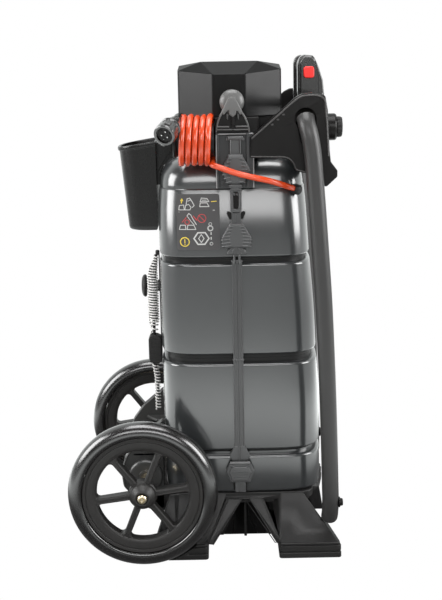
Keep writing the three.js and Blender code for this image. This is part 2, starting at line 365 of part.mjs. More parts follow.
// ---------- rear: side brackets, control panel, push handle, rails ----------
{
  let s = solid(slabY([[77, 708], [150, 769.5], [160, 774.5], [175, 775.5], [196, 771], [200, 748], [203, 685], [205, 667], [215.5, 653], [215.5, 643], [198, 627], [188, 631], [182, 645], [158, 651], [148, 654], [145, 664], [136, 673.5], [77, 675.5]], -165, -151, 2.2, 1));
  s = s.subtract(solid(tube(railPath, RAIL_R + 1, 20, 10))).subtract(solid(rodY(RAIL_R + 3, -170, -160, 164.5, 737, 20)));
  // a raised rim along the sloping edge
  s = s.add(solid(slabY([[80, 706], [151, 765.5], [160, 770], [160, 774.5], [150, 769.5], [77.5, 708]], -168, -160, 1, 1)));
  // stub tube that the push handle turns on; the two stubs meet at the middle
  s = s.add(solid(rodY(8, -152, -GAP, PIVOT[0], PIVOT[1], 16)));
  pair('side_bracket', geo(s), BLACK);
  const panel = cut(join(slabX(roundRect(-150.6, 150.6, 646, 727.5, 6, 2), ...PANEL_X, 2, 1), slabX(roundRect(-108, 108, 690, 734, 8, 2), ...PANEL_X, 2, 1), turnX([[0, PANEL_X[1] - 3], [22.5, PANEL_X[1] - 3], [22.5, 222], [20.5, 225], [0, 225]], KNOB.y, KNOB.z, 20)), box(PANEL_X[0] - 7, PANEL_X[1] - 5, -145, 145, 651, 722), box(PANEL_X[1] - 13, PANEL_X[1] + 3, 76, 96, 697, 721.5), box(PANEL_X[1] - 8, PANEL_X[1] + 3, 76, 96, 697, 729.5));
  add('control_panel', panel, BLACK);
  const knob = [turnX([[0, 225.5], [KNOB.r, 225.5], [KNOB.r, 233], [KNOB.r - 2.5, 235], [0, 235]], KNOB.y, KNOB.z, 24)];
  let k = solid(knob[0]);
  for (let i = 0; i < 8; i++) k = k.subtract(solid(rodX(2.4, 226.8, 240, KNOB.y + (KNOB.r + 0.8) * Math.cos(i * Math.PI / 4), KNOB.z + (KNOB.r + 0.8) * Math.sin(i * Math.PI / 4), 5)));
  add('rotary_knob', geo(k.subtract(solid(box(233.6, 240, KNOB.y - 1.2, KNOB.y + 1.2, KNOB.z, KNOB.z + 18)))), BLACK);
  add('display_lens', slabX(roundRect(8, 62, 694, 730, 4, 2), PANEL_X[1] + 0.4, PANEL_X[1] + 2.6, 0.8, 1), LENS);
  add('rocker_switch', slabX(roundRect(78, 94, 700, 726, 2, 1), PANEL_X[1] - 2.5, PANEL_X[1] + 6.5, 1.5, 1), RED);
}
{
  const arm = slabY([[160, 779], [160, 823], [164.5, 831], [170, 834.5], [185, 833], [189, 828], [194.5, 816], [202, 793], [204.5, 768], [197, 748], [186, 739.5], [172, 738], [161, 745]], -63, -42, 3, 1);
  const bar = rodY(12.5, -50, 50, 177, 815, 16);
  const bore = turnY([[0, -64], [9.6, -64], [9.6, -52], [0, -52]], 178, 806, 16);
  const pivot = rodY(8 + GAP, -70, 70, PIVOT[0], PIVOT[1], 16);
  add('push_handle', cut(join(arm, mirrorY(arm), bar), bore, mirrorY(bore), pivot), BLACK);
  pair('release_button', turnY([[0, -67], [6.4, -67], [9, -65], [9, -55.5], [0, -55.5]], 178, 806, 16), RED);
  pair('side_rail', tube(railPath, RAIL_R, 20, 10), RAIL);
  pair('rail_bolt', join(rodX(6, 218.6, 224.6, -RAIL_Y, 97, 6), rodX(8, 218.4, 220, -RAIL_Y, 97, 14)), STEEL);
}

export default root;
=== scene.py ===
# Wheeled car battery charger: the look of each piece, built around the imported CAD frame.
import bpy, bmesh, math
from mathutils import Vector, Matrix, Quaternion


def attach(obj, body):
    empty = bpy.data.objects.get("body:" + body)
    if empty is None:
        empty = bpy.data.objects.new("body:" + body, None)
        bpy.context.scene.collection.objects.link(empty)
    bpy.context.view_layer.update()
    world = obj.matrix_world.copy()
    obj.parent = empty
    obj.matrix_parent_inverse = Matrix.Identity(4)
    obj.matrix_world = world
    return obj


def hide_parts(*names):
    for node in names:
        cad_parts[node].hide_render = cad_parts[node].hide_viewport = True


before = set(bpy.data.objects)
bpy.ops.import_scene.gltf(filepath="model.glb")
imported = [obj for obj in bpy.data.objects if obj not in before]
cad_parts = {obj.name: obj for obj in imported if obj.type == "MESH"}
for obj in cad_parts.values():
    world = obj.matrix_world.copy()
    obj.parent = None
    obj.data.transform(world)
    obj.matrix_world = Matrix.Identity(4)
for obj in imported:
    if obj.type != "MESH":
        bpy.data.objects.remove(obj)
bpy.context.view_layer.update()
MM = 0.001
scene = bpy.context.scene

# ------------------------------------------------------------------ camera
CAM = dict(f=1100.0, pitch=12.3, roll=1.1, x=26.0, y=-1918.0, z=828.0)
cam_data = bpy.data.cameras.new("view_camera")
cam = bpy.data.objects.new("view_camera", cam_data)
scene.collection.objects.link(cam)
cam_data.sensor_width = 36.0
cam_data.lens = CAM["f"] / 600.0 * 36.0
cam_data.clip_start = 0.02
cam_data.clip_end = 50
cam.location = (CAM["x"] * MM, CAM["y"] * MM, CAM["z"] * MM)
cam.rotation_euler = (Matrix.Rotation(math.radians(90 - CAM["pitch"]), 3, "X") @ Matrix.Rotation(math.radians(-CAM["roll"]), 3, "Z")).to_euler()
scene.camera = cam

# ------------------------------------------------------------------ materials
def node_mat(name, base, rough, metallic=0.0, spec=0.5, coat=0.0, coat_rough=0.1, coat_ior=1.5, vary=0.06, rvary=0.05, fine=900.0, bump=0.05,
             coarse=14.0, wear=0.0, wear_col=(0.35, 0.35, 0.35), detail=3.0, streak=None, sheen=0.0, crown=None):
    m = bpy.data.materials.new(name)
    m.use_nodes = True
    nt = m.node_tree
    nt.nodes.clear()
    N, L = nt.nodes.new, nt.links.new
    out = N("ShaderNodeOutputMaterial")
    b = N("ShaderNodeBsdfPrincipled")
    L(b.outputs["BSDF"], out.inputs["Surface"])
    b.inputs["Metallic"].default_value = metallic
    b.inputs["Specular IOR Level"].default_value = spec
    b.inputs["Coat Weight"].default_value = coat
    b.inputs["Coat Roughness"].default_value = coat_rough
    b.inputs["Coat IOR"].default_value = coat_ior
    if sheen:
        b.inputs["Sheen Weight"].default_value = sheen
    tc = N("ShaderNodeTexCoord")
    # slow colour variation
    n1 = N("ShaderNodeTexNoise")
    n1.inputs["Scale"].default_value = coarse
    n1.inputs["Detail"].default_value = detail
    L(tc.outputs["Object"], n1.inputs["Vector"])
    ramp = N("ShaderNodeValToRGB")
    ramp.color_ramp.elements[0].position = 0.3
    ramp.color_ramp.elements[1].position = 0.7
    lo = [max(0, c * (1 - vary)) for c in base[:3]] + [1]
    hi = [min(1, c * (1 + vary)) for c in base[:3]] + [1]
    ramp.color_ramp.elements[0].color = lo
    ramp.color_ramp.elements[1].color = hi
    L(n1.outputs["Fac"], ramp.inputs["Fac"])
    col = ramp.outputs["Color"]
    if wear > 0:
        g = N("ShaderNodeNewGeometry")
        r2 = N("ShaderNodeValToRGB")
        r2.color_ramp.elements[0].position = 0.52
        r2.color_ramp.elements[1].position = 0.60
        r2.color_ramp.elements[0].color = (0, 0, 0, 1)
        r2.color_ramp.elements[1].color = (wear, wear, wear, 1)
        L(g.outputs["Pointiness"], r2.inputs["Fac"])
        mx = N("ShaderNodeMix")
        mx.data_type = "RGBA"
        L(r2.outputs["Color"], mx.inputs["Factor"])
        L(col, mx.inputs[6])
        mx.inputs[7].default_value = (*wear_col, 1)
        col = mx.outputs[2]
    L(col, b.inputs["Base Color"])
    # roughness variation
    n2 = N("ShaderNodeTexNoise")
    n2.inputs["Scale"].default_value = coarse * 4
    n2.inputs["Detail"].default_value = 4.0
    L(tc.outputs["Object"], n2.inputs["Vector"])
    mr = N("ShaderNodeMapRange")
    mr.inputs["To Min"].default_value = max(0.02, rough - rvary)
    mr.inputs["To Max"].default_value = min(1.0, rough + rvary)
    L(n2.outputs["Fac"], mr.inputs["Value"])
    L(mr.outputs["Result"], b.inputs["Roughness"])
    # slow lean of a wall that is crowned towards its top
    lean = None
    if crown:
        z0, z1, slope = crown
        sx = N("ShaderNodeSeparateXYZ")
        L(tc.outputs["Object"], sx.inputs[0])
        t = N("ShaderNodeMapRange")
        t.inputs["From Min"].default_value = z0
        t.inputs["From Max"].default_value = z1
        L(sx.outputs["Z"], t.inputs["Value"])
        q = N("ShaderNodeMath"); q.operation = "MULTIPLY"
        L(t.outputs["Result"], q.inputs[0]); L(t.outputs["Result"], q.inputs[1])
        h = N("ShaderNodeMath"); h.operation = "MULTIPLY"
        h.inputs[1].default_value = -0.5 * slope * (z1 - z0)
        L(q.outputs[0], h.inputs[0])
        lb = N("ShaderNodeBump")
        lb.inputs["Strength"].default_value = 1.0
        lb.inputs["Distance"].default_value = 1.0
        L(h.outputs[0], lb.inputs["Height"])
        lean = lb.outputs["Normal"]
        L(lean, b.inputs["Normal"])
        L(lean, b.inputs["Coat Normal"])
    # fine grain
    if bump > 0:
        n3 = N("ShaderNodeTexNoise")
        n3.inputs["Scale"].default_value = fine
        n3.inputs["Detail"].default_value = 2.0
        src = tc.outputs["Object"]
        if streak:
            mp = N("ShaderNodeMapping")
            mp.inputs["Scale"].default_value = streak
            L(src, mp.inputs["Vector"])
            src = mp.outputs["Vector"]
        L(src, n3.inputs["Vector"])
        bp = N("ShaderNodeBump")
        bp.inputs["Strength"].default_value = bump
        bp.inputs["Distance"].default_value = 0.0006
        L(n3.outputs["Fac"], bp.inputs["Height"])
        if lean:
            L(lean, bp.inputs["Normal"])
        L(bp.outputs["Normal"], b.inputs["Normal"])
    return m

M_CASE = node_mat("case_plastic", (0.021, 0.023, 0.024), 0.34, spec=0.5, coat=1.0, coat_rough=0.16, coat_ior=1.75, vary=0.05, bump=0.035, fine=1400)
M_CASE_TOP = node_mat("case_plastic_top", (0.021, 0.023, 0.024), 0.34, spec=0.5, coat=1.0, coat_rough=0.20, coat_ior=1.75, vary=0.05, bump=0.035, fine=1400, crown=(0.515, 0.622, 0.23))
M_CASE_IN = node_mat("case_groove", (0.008, 0.008, 0.008), 0.5, spec=0.3, vary=0.05, bump=0.06)
M_HEAD = node_mat("head_plastic", (0.0056, 0.0055, 0.0055), 0.29, spec=0.18, vary=0.06, bump=0.10, fine=1100, rvary=0.03)
M_BLACK = node_mat("black_semigloss", (0.0062, 0.0056, 0.0053), 0.34, spec=0.22, vary=0.08, bump=0.06, fine=1300, rvary=0.05)
M_CUP = node_mat("cup_black", (0.0028, 0.0025, 0.0023), 0.27, spec=0.46, vary=0.08, bump=0.03, fine=1300, rvary=0.03)
M_GLOSS = node_mat("black_gloss", (0.010, 0.0095, 0.0090), 0.26, spec=0.5, coat=1.0, coat_rough=0.12, coat_ior=1.6, vary=0.08, bump=0.02, fine=900, rvary=0.03)
M_MATT = node_mat("black_matt", (0.012, 0.0115, 0.0112), 0.50, spec=0.3, vary=0.08, bump=0.15, fine=1000)
M_STRAP = node_mat("strap_rubber", (0.050, 0.051, 0.052), 0.36, spec=0.5, coat=0.5, coat_rough=0.25, coat_ior=1.6, vary=0.07, bump=0.12, fine=1500, rvary=0.06)
M_STRAPPLATE = node_mat("strap_plate", (0.034, 0.035, 0.036), 0.30, vary=0.06, bump=0.06, fine=1300)
# painted highlight: a lighter black for the bracket's rim tubes, standing in for light along the bracket's edges
M_BEAD_HIGHLIGHT = node_mat("bracket_bead_painted_highlight", (0.045, 0.043, 0.042), 0.28, spec=0.5, vary=0.10, bump=0.05, fine=1200)
# painted highlight: a light grey for the strap plate's edge tubes, standing in for light caught along its edges
M_EDGE_HIGHLIGHT = node_mat("painted_edge_highlight", (0.24, 0.24, 0.24), 0.32, vary=0.10, bump=0.05, fine=1200)
M_GREY = node_mat("stirrup_grey", (0.10, 0.10, 0.098), 0.32, vary=0.05, bump=0.06, fine=1300)
M_RAIL = node_mat("rail_paint", (0.026, 0.0255, 0.025), 0.40, spec=0.55, vary=0.05, bump=0.12, fine=2200, rvary=0.04)
M_TYRE = node_mat("tyre_rubber", (0.0055, 0.0050, 0.0048), 0.26, spec=0.60, coat=1.0, coat_rough=0.20, coat_ior=1.6, vary=0.10, bump=0.0, fine=700, rvary=0.02)
M_RIM = node_mat("rim_plastic", (0.020, 0.0190, 0.0182), 0.42, spec=0.40, vary=0.07, bump=0.15, fine=1200, rvary=0.06)
M_PLINTH = node_mat("plinth_plastic", (0.0115, 0.0110, 0.0108), 0.46, spec=0.42, vary=0.10, bump=0.40, fine=520, rvary=0.09)
M_PAD = node_mat("foot_rubber", (0.014, 0.0135, 0.013), 0.55, spec=0.4, vary=0.12, bump=0.25, fine=800)
M_ORANGE = node_mat("cable_orange", (0.62, 0.056, 0.009), 0.25, spec=0.5, coat=0.6, coat_rough=0.14, vary=0.05, bump=0.05, fine=600, rvary=0.05)
M_RED = node_mat("red_button", (0.80, 0.016, 0.012), 0.30, spec=0.5, coat=0.2, vary=0.03, bump=0.02)
M_WIRE = node_mat("spring_wire", (0.66, 0.65, 0.63), 0.35, metallic=0.0, spec=0.6, vary=0.10, bump=0.05, rvary=0.08)
M_STEEL = node_mat("plated_steel", (0.70, 0.70, 0.69), 0.24, metallic=1.0, vary=0.06, bump=0.04, rvary=0.06)
M_BRASS = node_mat("plated_brass", (0.74, 0.64, 0.46), 0.24, metallic=1.0, vary=0.10, bump=0.05, rvary=0.07)
M_BRACKET = node_mat("axle_bracket", (0.030, 0.030, 0.029), 0.40, spec=0.45, coat=0.3, coat_rough=0.25, vary=0.06, bump=0.10, fine=1200)
M_BOARD = node_mat("circuit_board", (0.02, 0.12, 0.05), 0.45, vary=0.15, bump=0.1)
M_ALU = node_mat("lacquered_core", (0.42, 0.43, 0.44), 0.42, metallic=0.9, vary=0.10, bump=0.2, streak=(1, 1, 40))
M_COPPER = node_mat("bare_copper", (0.72, 0.36, 0.20), 0.3, metallic=1.0, vary=0.12, bump=0.08)
M_BATT = node_mat("battery_box", (0.02, 0.022, 0.026), 0.5, vary=0.1, bump=0.25)
M_LENS = node_mat("dark_lens", (0.01, 0.014, 0.02), 0.06, spec=0.6, coat=0.8, coat_rough=0.03, vary=0.05, bump=0.0, rvary=0.02)
M_LABEL = node_mat("label_plate", (0.055, 0.053, 0.054), 0.42, vary=0.04, bump=0.04)
M_ICON = node_mat("label_icon", (0.50, 0.50, 0.49), 0.45, vary=0.03, bump=0.0)
M_ICON_Y = node_mat("label_icon_yellow", (0.72, 0.55, 0.06), 0.45, vary=0.03, bump=0.0)
M_INK = node_mat("dial_marks", (0.55, 0.55, 0.55), 0.5, vary=0.03, bump=0.0)

# ------------------------------------------------------------------ mesh building
def weigh(o):
    """Large faces keep flat shading and only the rounded edges turn the light."""
    m = o.modifiers.new("w", "WEIGHTED_NORMAL")
    m.mode = "FACE_AREA"
    m.weight = 50
    m.keep_sharp = True
    dg = bpy.context.evaluated_depsgraph_get()
    dg.update()
    new = bpy.data.meshes.new_from_object(o.evaluated_get(dg))
    new.name = o.name
    o.modifiers.clear()
    old = o.data
    o.data = new
    bpy.data.meshes.remove(old)

class Build:
    """Collects closed shells in millimetres, in the row frame."""
    def __init__(self):
        self.v, self.f, self.m = [], [], []
        self.mi = 0
    def add(self, verts, faces, M=None):
        o = len(self.v)
        self.v += [tuple(M @ Vector(p)) if M else tuple(p) for p in verts]
        flip = bool(M) and M.to_3x3().determinant() < 0
        for f in faces:
            f = [o + i for i in f]
            self.f.append(f[::-1] if flip else f)
            self.m.append(self.mi)
        return self
    def bm(self, bm, M=None):
        bm.verts.ensure_lookup_table()
        for i, v in enumerate(bm.verts):
            v.index = i
        self.add([tuple(v.co) for v in bm.verts], [[v.index for v in f.verts] for f in bm.faces], M)
        bm.free()
        return self
    def merge(self, other, M=None):
        o = len(self.v)
        flip = bool(M) and M.to_3x3().determinant() < 0
        self.v += [tuple(M @ Vector(p)) if M else tuple(p) for p in other.v]
        for f, m in zip(other.f, other.m):
            f = [o + i for i in f]
            self.f.append(f[::-1] if flip else f)
            self.m.append(m)
        return self
    def out(self, name, mats, body="root", reps=(), smooth=32, far=False):
        mats = mats if isinstance(mats, (list, tuple)) else [mats]
        v, f = self.v, self.f
        if far:
            v = [(x, -y, z) for x, y, z in v]
            f = [g[::-1] for g in f]
        me = bpy.data.meshes.new(name)
        me.from_pydata([(x * MM, y * MM, z * MM) for x, y, z in v], [], f)
        me.update()
        for mt in mats:
            me.materials.append(mt)
        me.polygons.foreach_set("material_index", self.m)
        me.polygons.foreach_set("use_smooth", [True] * len(me.polygons))
        me.set_sharp_from_angle(angle=math.radians(smooth))
        o = bpy.data.objects.new(name, me)
        scene.collection.objects.link(o)
        weigh(o)
        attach(o, body)
        if reps:
            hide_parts(*reps)
        return o
    def pair(self, name, mats, node=None, body=("root", "root"), smooth=32):
        a = self.out(name + "_skin_near", mats, body[0], (node + "_near",) if node else (), smooth)
        b = self.out(name + "_skin_far", mats, body[1], (node + "_far",) if node else (), smooth, far=True)
        return a, b

def arc(cx, cy, r, a0, a1, n):
    return [(cx + r * math.cos(math.radians(a0 + (a1 - a0) * i / n)), cy + r * math.sin(math.radians(a0 + (a1 - a0) * i / n))) for i in range(n + 1)]

def fillet(pts, r, n=5):
    """Round the corners of a closed outline; r is one radius or one per point."""
    out = []
    k = len(pts)
    for i, p in enumerate(pts):
        ri = r[i] if isinstance(r, (list, tuple)) else r
        a, b, c = Vector(pts[i - 1]), Vector(p), Vector(pts[(i + 1) % k])
        if ri <= 0:
            out.append(tuple(b))
            continue
        u, w = (a - b), (c - b)
        la, lb = u.length, w.length
        u.normalize(); w.normalize()
        ang = math.acos(max(-1, min(1, u.dot(w))))
        if ang > math.pi - 0.02:
            out.append(tuple(b)); continue
        d = min(ri / math.tan(ang / 2), la * 0.48, lb * 0.48)
        rr = d * math.tan(ang / 2)
        bis = (u + w).normalized()
        c0 = b + bis * (rr / math.sin(ang / 2))
        s = (b + u * d) - c0
        e = (b + w * d) - c0
        a0, a1 = math.atan2(s.y, s.x), math.atan2(e.y, e.x)
        da = (a1 - a0 + math.pi) % (2 * math.pi) - math.pi
        m = max(2, int(n * abs(da) / (math.pi / 2) + 0.5))
        for j in range(m + 1):
            t = a0 + da * j / m
            out.append((c0.x + rr * math.cos(t), c0.y + rr * math.sin(t)))
    return out

def area2(pts):
    return sum(pts[i - 1][0] * pts[i][1] - pts[i][0] * pts[i - 1][1] for i in range(len(pts))) / 2

def offset_poly(pts, d):
    """Move a counter-clockwise outline inward by d."""
    k = len(pts)
    out = []
    for i in range(k):
        a, b, c = Vector(pts[i - 1]), Vector(pts[i]), Vector(pts[(i + 1) % k])
        e1, e2 = (b - a), (c - b)
        if e1.length < 1e-7 or e2.length < 1e-7:
            out.append(tuple(b)); continue
        e1.normalize(); e2.normalize()
        n1, n2 = Vector((-e1.y, e1.x)), Vector((-e2.y, e2.x))
        nn = n1 + n2
        if nn.length < 1e-6:
            nn = n1
        nn.normalize()
        q = max(0.45, nn.dot(n1))
        out.append(tuple(b + nn * (d / q)))
    return out

AX = {"Y": Matrix(((1, 0, 0, 0), (0, 0, -1, 0), (0, 1, 0, 0), (0, 0, 0, 1))),   # (u, v, w) -> (x=u, y=-w, z=v)
      "X": Matrix(((0, 0, 1, 0), (1, 0, 0, 0), (0, 1, 0, 0), (0, 0, 0, 1))),    # (u, v, w) -> (x=w, y=u, z=v)
      "Z": Matrix.Identity(4)}

def plate(B, pts, w0, w1, axis="Z", bevel=1.0, seg=3, bevel0=None, holes=(), crown=0.0):
    """Outline pushed between w0 and w1 along an axis (real coordinates), edges rounded. Convex or mildly concave outlines."""
    if area2(pts) < 0:
        pts = pts[::-1]
    holes = [h if area2(h) > 0 else h[::-1] for h in holes]
    lo, hi = (w0, w1)
    if axis == "Y":
        lo, hi = -w1, -w0
    b0 = bevel if bevel0 is None else bevel0
    prof = []
    for j in range(seg + 1):
        t = math.pi / 2 * j / seg
        prof.append((b0 * (1 - math.sin(t)), lo + b0 * (1 - math.cos(t))))
    for j in range(seg + 1):
        t = math.pi / 2 * j / seg
        prof.append((bevel * (1 - math.cos(t)), hi - bevel * (1 - math.sin(t))))
    if b0 <= 0:
        prof = [(0, lo)] + prof[seg + 1:]
    if bevel <= 0:
        prof = prof[:len(prof) - seg - 1] + [(0, hi)]
    k = len(pts)
    verts, faces = [], []
    for (d, w) in prof:
        for (u, v) in (offset_poly(pts, d) if d > 1e-6 else pts):
            verts.append((u, v, w))
    R = len(prof)
    for r in range(R - 1):
        for i in range(k):
            j = (i + 1) % k
            faces.append([r * k + i, r * k + j, (r + 1) * k + j, (r + 1) * k + i])
    from mathutils.geometry import tessellate_polygon
    hv = []
    for h in holes:
        base = len(verts)
        hk = len(h)
        for (d, w) in prof:
            for (u, v) in (offset_poly(h, -d) if d > 1e-6 else h):
                verts.append((u, v, w))
        for r in range(R - 1):
            for i in range(hk):
                j = (i + 1) % hk
                faces.append([base + (r + 1) * hk + i, base + (r + 1) * hk + j, base + r * hk + j, base + r * hk + i])
        hv.append((base, hk))
    for r, up in ((0, False), (R - 1, True)):
        loops = [[r * k + i for i in range(k)]] + [[b + r * hk + i for i in range(hk)] for b, hk in hv]
        if not hv and _convex(pts):
            idx = loops[0]
            faces.append(idx if up else idx[::-1])
            continue
        flat = [i for lp in loops for i in lp]
        tris = tessellate_polygon([[Vector((verts[i][0], verts[i][1], 0)) for i in lp] for lp in loops])
        for t in tris:
            a, b, c = (flat[i] for i in t)
            pa, pb, pc = verts[a], verts[b], verts[c]
            s = (pb[0] - pa[0]) * (pc[1] - pa[1]) - (pc[0] - pa[0]) * (pb[1] - pa[1])
            if abs(s) < 1e-12:
                continue
            if (s > 0) != up:
                a, b, c = a, c, b
            faces.append([a, b, c])
    B.add(verts, faces, AX[axis])
    return B

def _convex(pts):
    k = len(pts)
    for i in range(k):
        a, b, c = pts[i - 1], pts[i], pts[(i + 1) % k]
        if (b[0] - a[0]) * (c[1] - b[1]) - (b[1] - a[1]) * (c[0] - b[0]) < -1e-6:
            return False
    return True

def rrect(a0, a1, b0, b1, r, n=5):
    r = min(r, (a1 - a0) / 2 - 1e-3, (b1 - b0) / 2 - 1e-3)
    out = []
    for cx, cy, t in ((a1 - r, b0 + r, -90), (a1 - r, b1 - r, 0), (a0 + r, b1 - r, 90), (a0 + r, b0 + r, 180)):
        out += arc(cx, cy, r, t, t + 90, n)
    return out

def rbox(B, x0, x1, y0, y1, z0, z1, r=1.0, seg=3, rc=None, axis="Z"):
    """Box with all edges rounded; rc is the corner radius seen along the axis."""
    rc = r if rc is None else rc
    n = max(3, seg)
    if axis == "Z":
        plate(B, rrect(x0, x1, y0, y1, max(rc, r + 0.01), n), z0, z1, "Z", r, seg)
    elif axis == "Y":
        plate(B, rrect(x0, x1, z0, z1, max(rc, r + 0.01), n), y0, y1, "Y", r, seg)
    else:
        plate(B, rrect(y0, y1, z0, z1, max(rc, r + 0.01), n), x0, x1, "X", r, seg)
    return B

def lathe(B, prof, axis, c, n=64, closed=False):
    """prof: (radius, along) pairs; axis X, Y or Z; c: centre in the other two coordinates (and 0 along)."""
    verts, faces, rings = [], [], []
    for r, a in prof:
        if r < 1e-6:
            rings.append([len(verts)]); verts.append((0, 0, a))
        else:
            s = len(verts)
            verts += [(r * math.cos(2 * math.pi * i / n), r * math.sin(2 * math.pi * i / n), a) for i in range(n)]
            rings.append([s + i for i in range(n)])
    pairs = list(zip(rings, rings[1:])) + ([(rings[-1], rings[0])] if closed else [])
    for A, C in pairs:
        for i in range(n):
            j = (i + 1) % n
            if len(A) == 1 and len(C) == 1: continue
            if len(A) == 1: faces.append([A[0], C[j], C[i]])
            elif len(C) == 1: faces.append([A[i], A[j], C[0]])
            else: faces.append([A[i], A[j], C[j], C[i]])
    if not closed:
        if len(rings[0]) > 1: faces.append(rings[0][::-1])
        if len(rings[-1]) > 1: faces.append(rings[-1])
    # orient outward by signed volume
    vol = 0
    for f in faces:
        for k in range(1, len(f) - 1):
            a, b, d = Vector(verts[f[0]]), Vector(verts[f[k]]), Vector(verts[f[k + 1]])
            vol += a.dot(b.cross(d))
    if vol < 0:
        faces = [f[::-1] for f in faces]
    if axis == "X":
        M = Matrix(((0, 0, 1, 0), (1, 0, 0, c[0]), (0, 1, 0, c[1]), (0, 0, 0, 1)))
    elif axis == "Y":
        M = Matrix(((0, 1, 0, c[0]), (0, 0, 1, 0), (1, 0, 0, c[1]), (0, 0, 0, 1)))
    else:
        M = Matrix(((1, 0, 0, c[0]), (0, 1, 0, c[1]), (0, 0, 1, 0), (0, 0, 0, 1)))
    B.add(verts, faces, M)
    return B

def lathe_at(B, prof, origin, direction, n=48, closed=False):
    T = Build()
    lathe(T, prof, "Z", (0, 0), n, closed)
    q = Vector((0, 0, 1)).rotation_difference(Vector(direction).normalized())
    return B.merge(T, Matrix.Translation(Vector(origin)) @ q.to_matrix().to_4x4())

def catmull(P, per=10, closed=False):
    P = [Vector(p) for p in P]
    n = len(P)
    out = []
    rng = range(n if closed else n - 1)
    for i in rng:
        p1, p2 = P[i], P[(i + 1) % n]
        p0 = P[i - 1] if (i > 0 or closed) else p1 * 2 - p2
        p3 = P[(i + 2) % n] if (i + 2 < n or closed) else p2 * 2 - p1
        t0, t1 = 0.0, (p1 - p0).length ** 0.5
        t2 = t1 + (p2 - p1).length ** 0.5
        t3 = t2 + (p3 - p2).length ** 0.5
        for k in range(per):
            t = t1 + (t2 - t1) * k / per
            A1 = p0 * ((t1 - t) / (t1 - t0)) + p1 * ((t - t0) / (t1 - t0)) if t1 > t0 else p1
            A2 = p1 * ((t2 - t) / (t2 - t1)) + p2 * ((t - t1) / (t2 - t1))
            A3 = p2 * ((t3 - t) / (t3 - t2)) + p3 * ((t - t2) / (t3 - t2)) if t3 > t2 else p2
            B1 = A1 * ((t2 - t) / (t2 - t0)) + A2 * ((t - t0) / (t2 - t0))
            B2 = A2 * ((t3 - t) / (t3 - t1)) + A3 * ((t - t1) / (t3 - t1))
            out.append(B1 * ((t2 - t) / (t2 - t1)) + B2 * ((t - t1) / (t2 - t1)))
    if not closed:
        out.append(P[-1])
    return out

def tube(B, path, r, n=24, cap=True, squash=None):
    """r: one radius or a function of 0..1 along the path."""
    P = [Vector(p) for p in path]
    k = len(P)
    T = [(P[min(i + 1, k - 1)] - P[max(i - 1, 0)]).normalized() for i in range(k)]
    up = Vector((0, 0, 1)) if abs(T[0].z) < 0.9 else Vector((0, 1, 0))
    u = T[0].cross(up).normalized()
    verts, faces = [], []
    for i in range(k):
        if i:
            q = T[i - 1].rotation_difference(T[i])
            u = q @ u
        w = T[i].cross(u).normalized()
        rr = r(i / (k - 1)) if callable(r) else r
        for j in range(n):
            a = 2 * math.pi * j / n
            verts.append(tuple(P[i] + u * (rr * math.cos(a)) + w * (rr * math.sin(a))))
    for i in range(k - 1):
        for j in range(n):
            jj = (j + 1) % n
            faces.append([i * n + j, i * n + jj, (i + 1) * n + jj, (i + 1) * n + j])
    if cap:
        faces.append(list(range(n))[::-1])
        faces.append([(k - 1) * n + j for j in range(n)])
    return B.add(verts, faces)

def hull_bevel(B, pts, r=3.0, seg=4, flat=0.02):
    bm = bmesh.new()
    for p in pts:
        bm.verts.new(p)
    bmesh.ops.convex_hull(bm, input=list(bm.verts))
    for v in [v for v in bm.verts if not v.link_faces]:
        bm.verts.remove(v)
    bmesh.ops.dissolve_limit(bm, angle_limit=flat, verts=list(bm.verts), edges=list(bm.edges))
    if r > 0:
        bmesh.ops.bevel(bm, geom=list(bm.edges), offset=r, offset_type="OFFSET", segments=seg, profile=0.5, affect="EDGES", clamp_overlap=True)
    bmesh.ops.recalc_face_normals(bm, faces=list(bm.faces))
    return B.bm(bm)

def boolean_cut(obj, cutter_build):
    me = bpy.data.meshes.new("cutter")
    me.from_pydata([(x * MM, y * MM, z * MM) for x, y, z in cutter_build.v], [], cutter_build.f)
    c = bpy.data.objects.new("cutter", me)
    scene.collection.objects.link(c)
    mod = obj.modifiers.new("cut", "BOOLEAN")
    mod.operation = "DIFFERENCE"
    mod.solver = "EXACT"
    mod.use_self = True
    mod.object = c
    dg = bpy.context.evaluated_depsgraph_get()
    new = bpy.data.meshes.new_from_object(obj.evaluated_get(dg))
    obj.modifiers.clear()
    old = obj.data
    obj.data = new
    bpy.data.meshes.remove(old)
    bpy.data.objects.remove(c)
    new.set_sharp_from_angle(angle=math.radians(32))
    weigh(obj)
    return obj

# ------------------------------------------------------------------ the stack of cases
BODY_CX, BODY_FRONT, HALF_Y, POW = 53.0, 130.0, 150.0, 5.5
BODY_REAR = [(105, 141), (265, 140), (420, 131), (554, 121), (640, 117), (700, 115)]
def lerp(tab, z):
    if z <= tab[0][0]: return tab[0][1]
    for (z0, v0), (z1, v1) in zip(tab, tab[1:]):
        if z <= z1: return v0 + (v1 - v0) * (z - z0) / (z1 - z0)
    return tab[-1][1]
def plan(inset, z, n=96):
    a, b, e = BODY_FRONT - inset, HALF_Y - inset, 2 / POW
    out = []
    for i in range(n):
        # closer steps where the plan turns
        t = 2 * math.pi * (i + 0.5) / n
        c, s = math.cos(t), math.sin(t)
        x, y = a * math.copysign(abs(c) ** e, c), b * math.copysign(abs(s) ** e, s)
        if x > 0: x *= lerp(BODY_REAR, z) / BODY_FRONT
        out.append((x + BODY_CX, y, z))
    return out
def near_y(X, z, inset=0.0):
    """y of the near face of the stack at X."""
    x = X - BODY_CX
    a = (BODY_FRONT - inset) * (lerp(BODY_REAR, z) / BODY_FRONT if x > 0 else 1)
    k = min(0.999, abs(x) / a)
    return -(HALF_Y - inset) * (1 - k ** POW) ** (1 / POW)
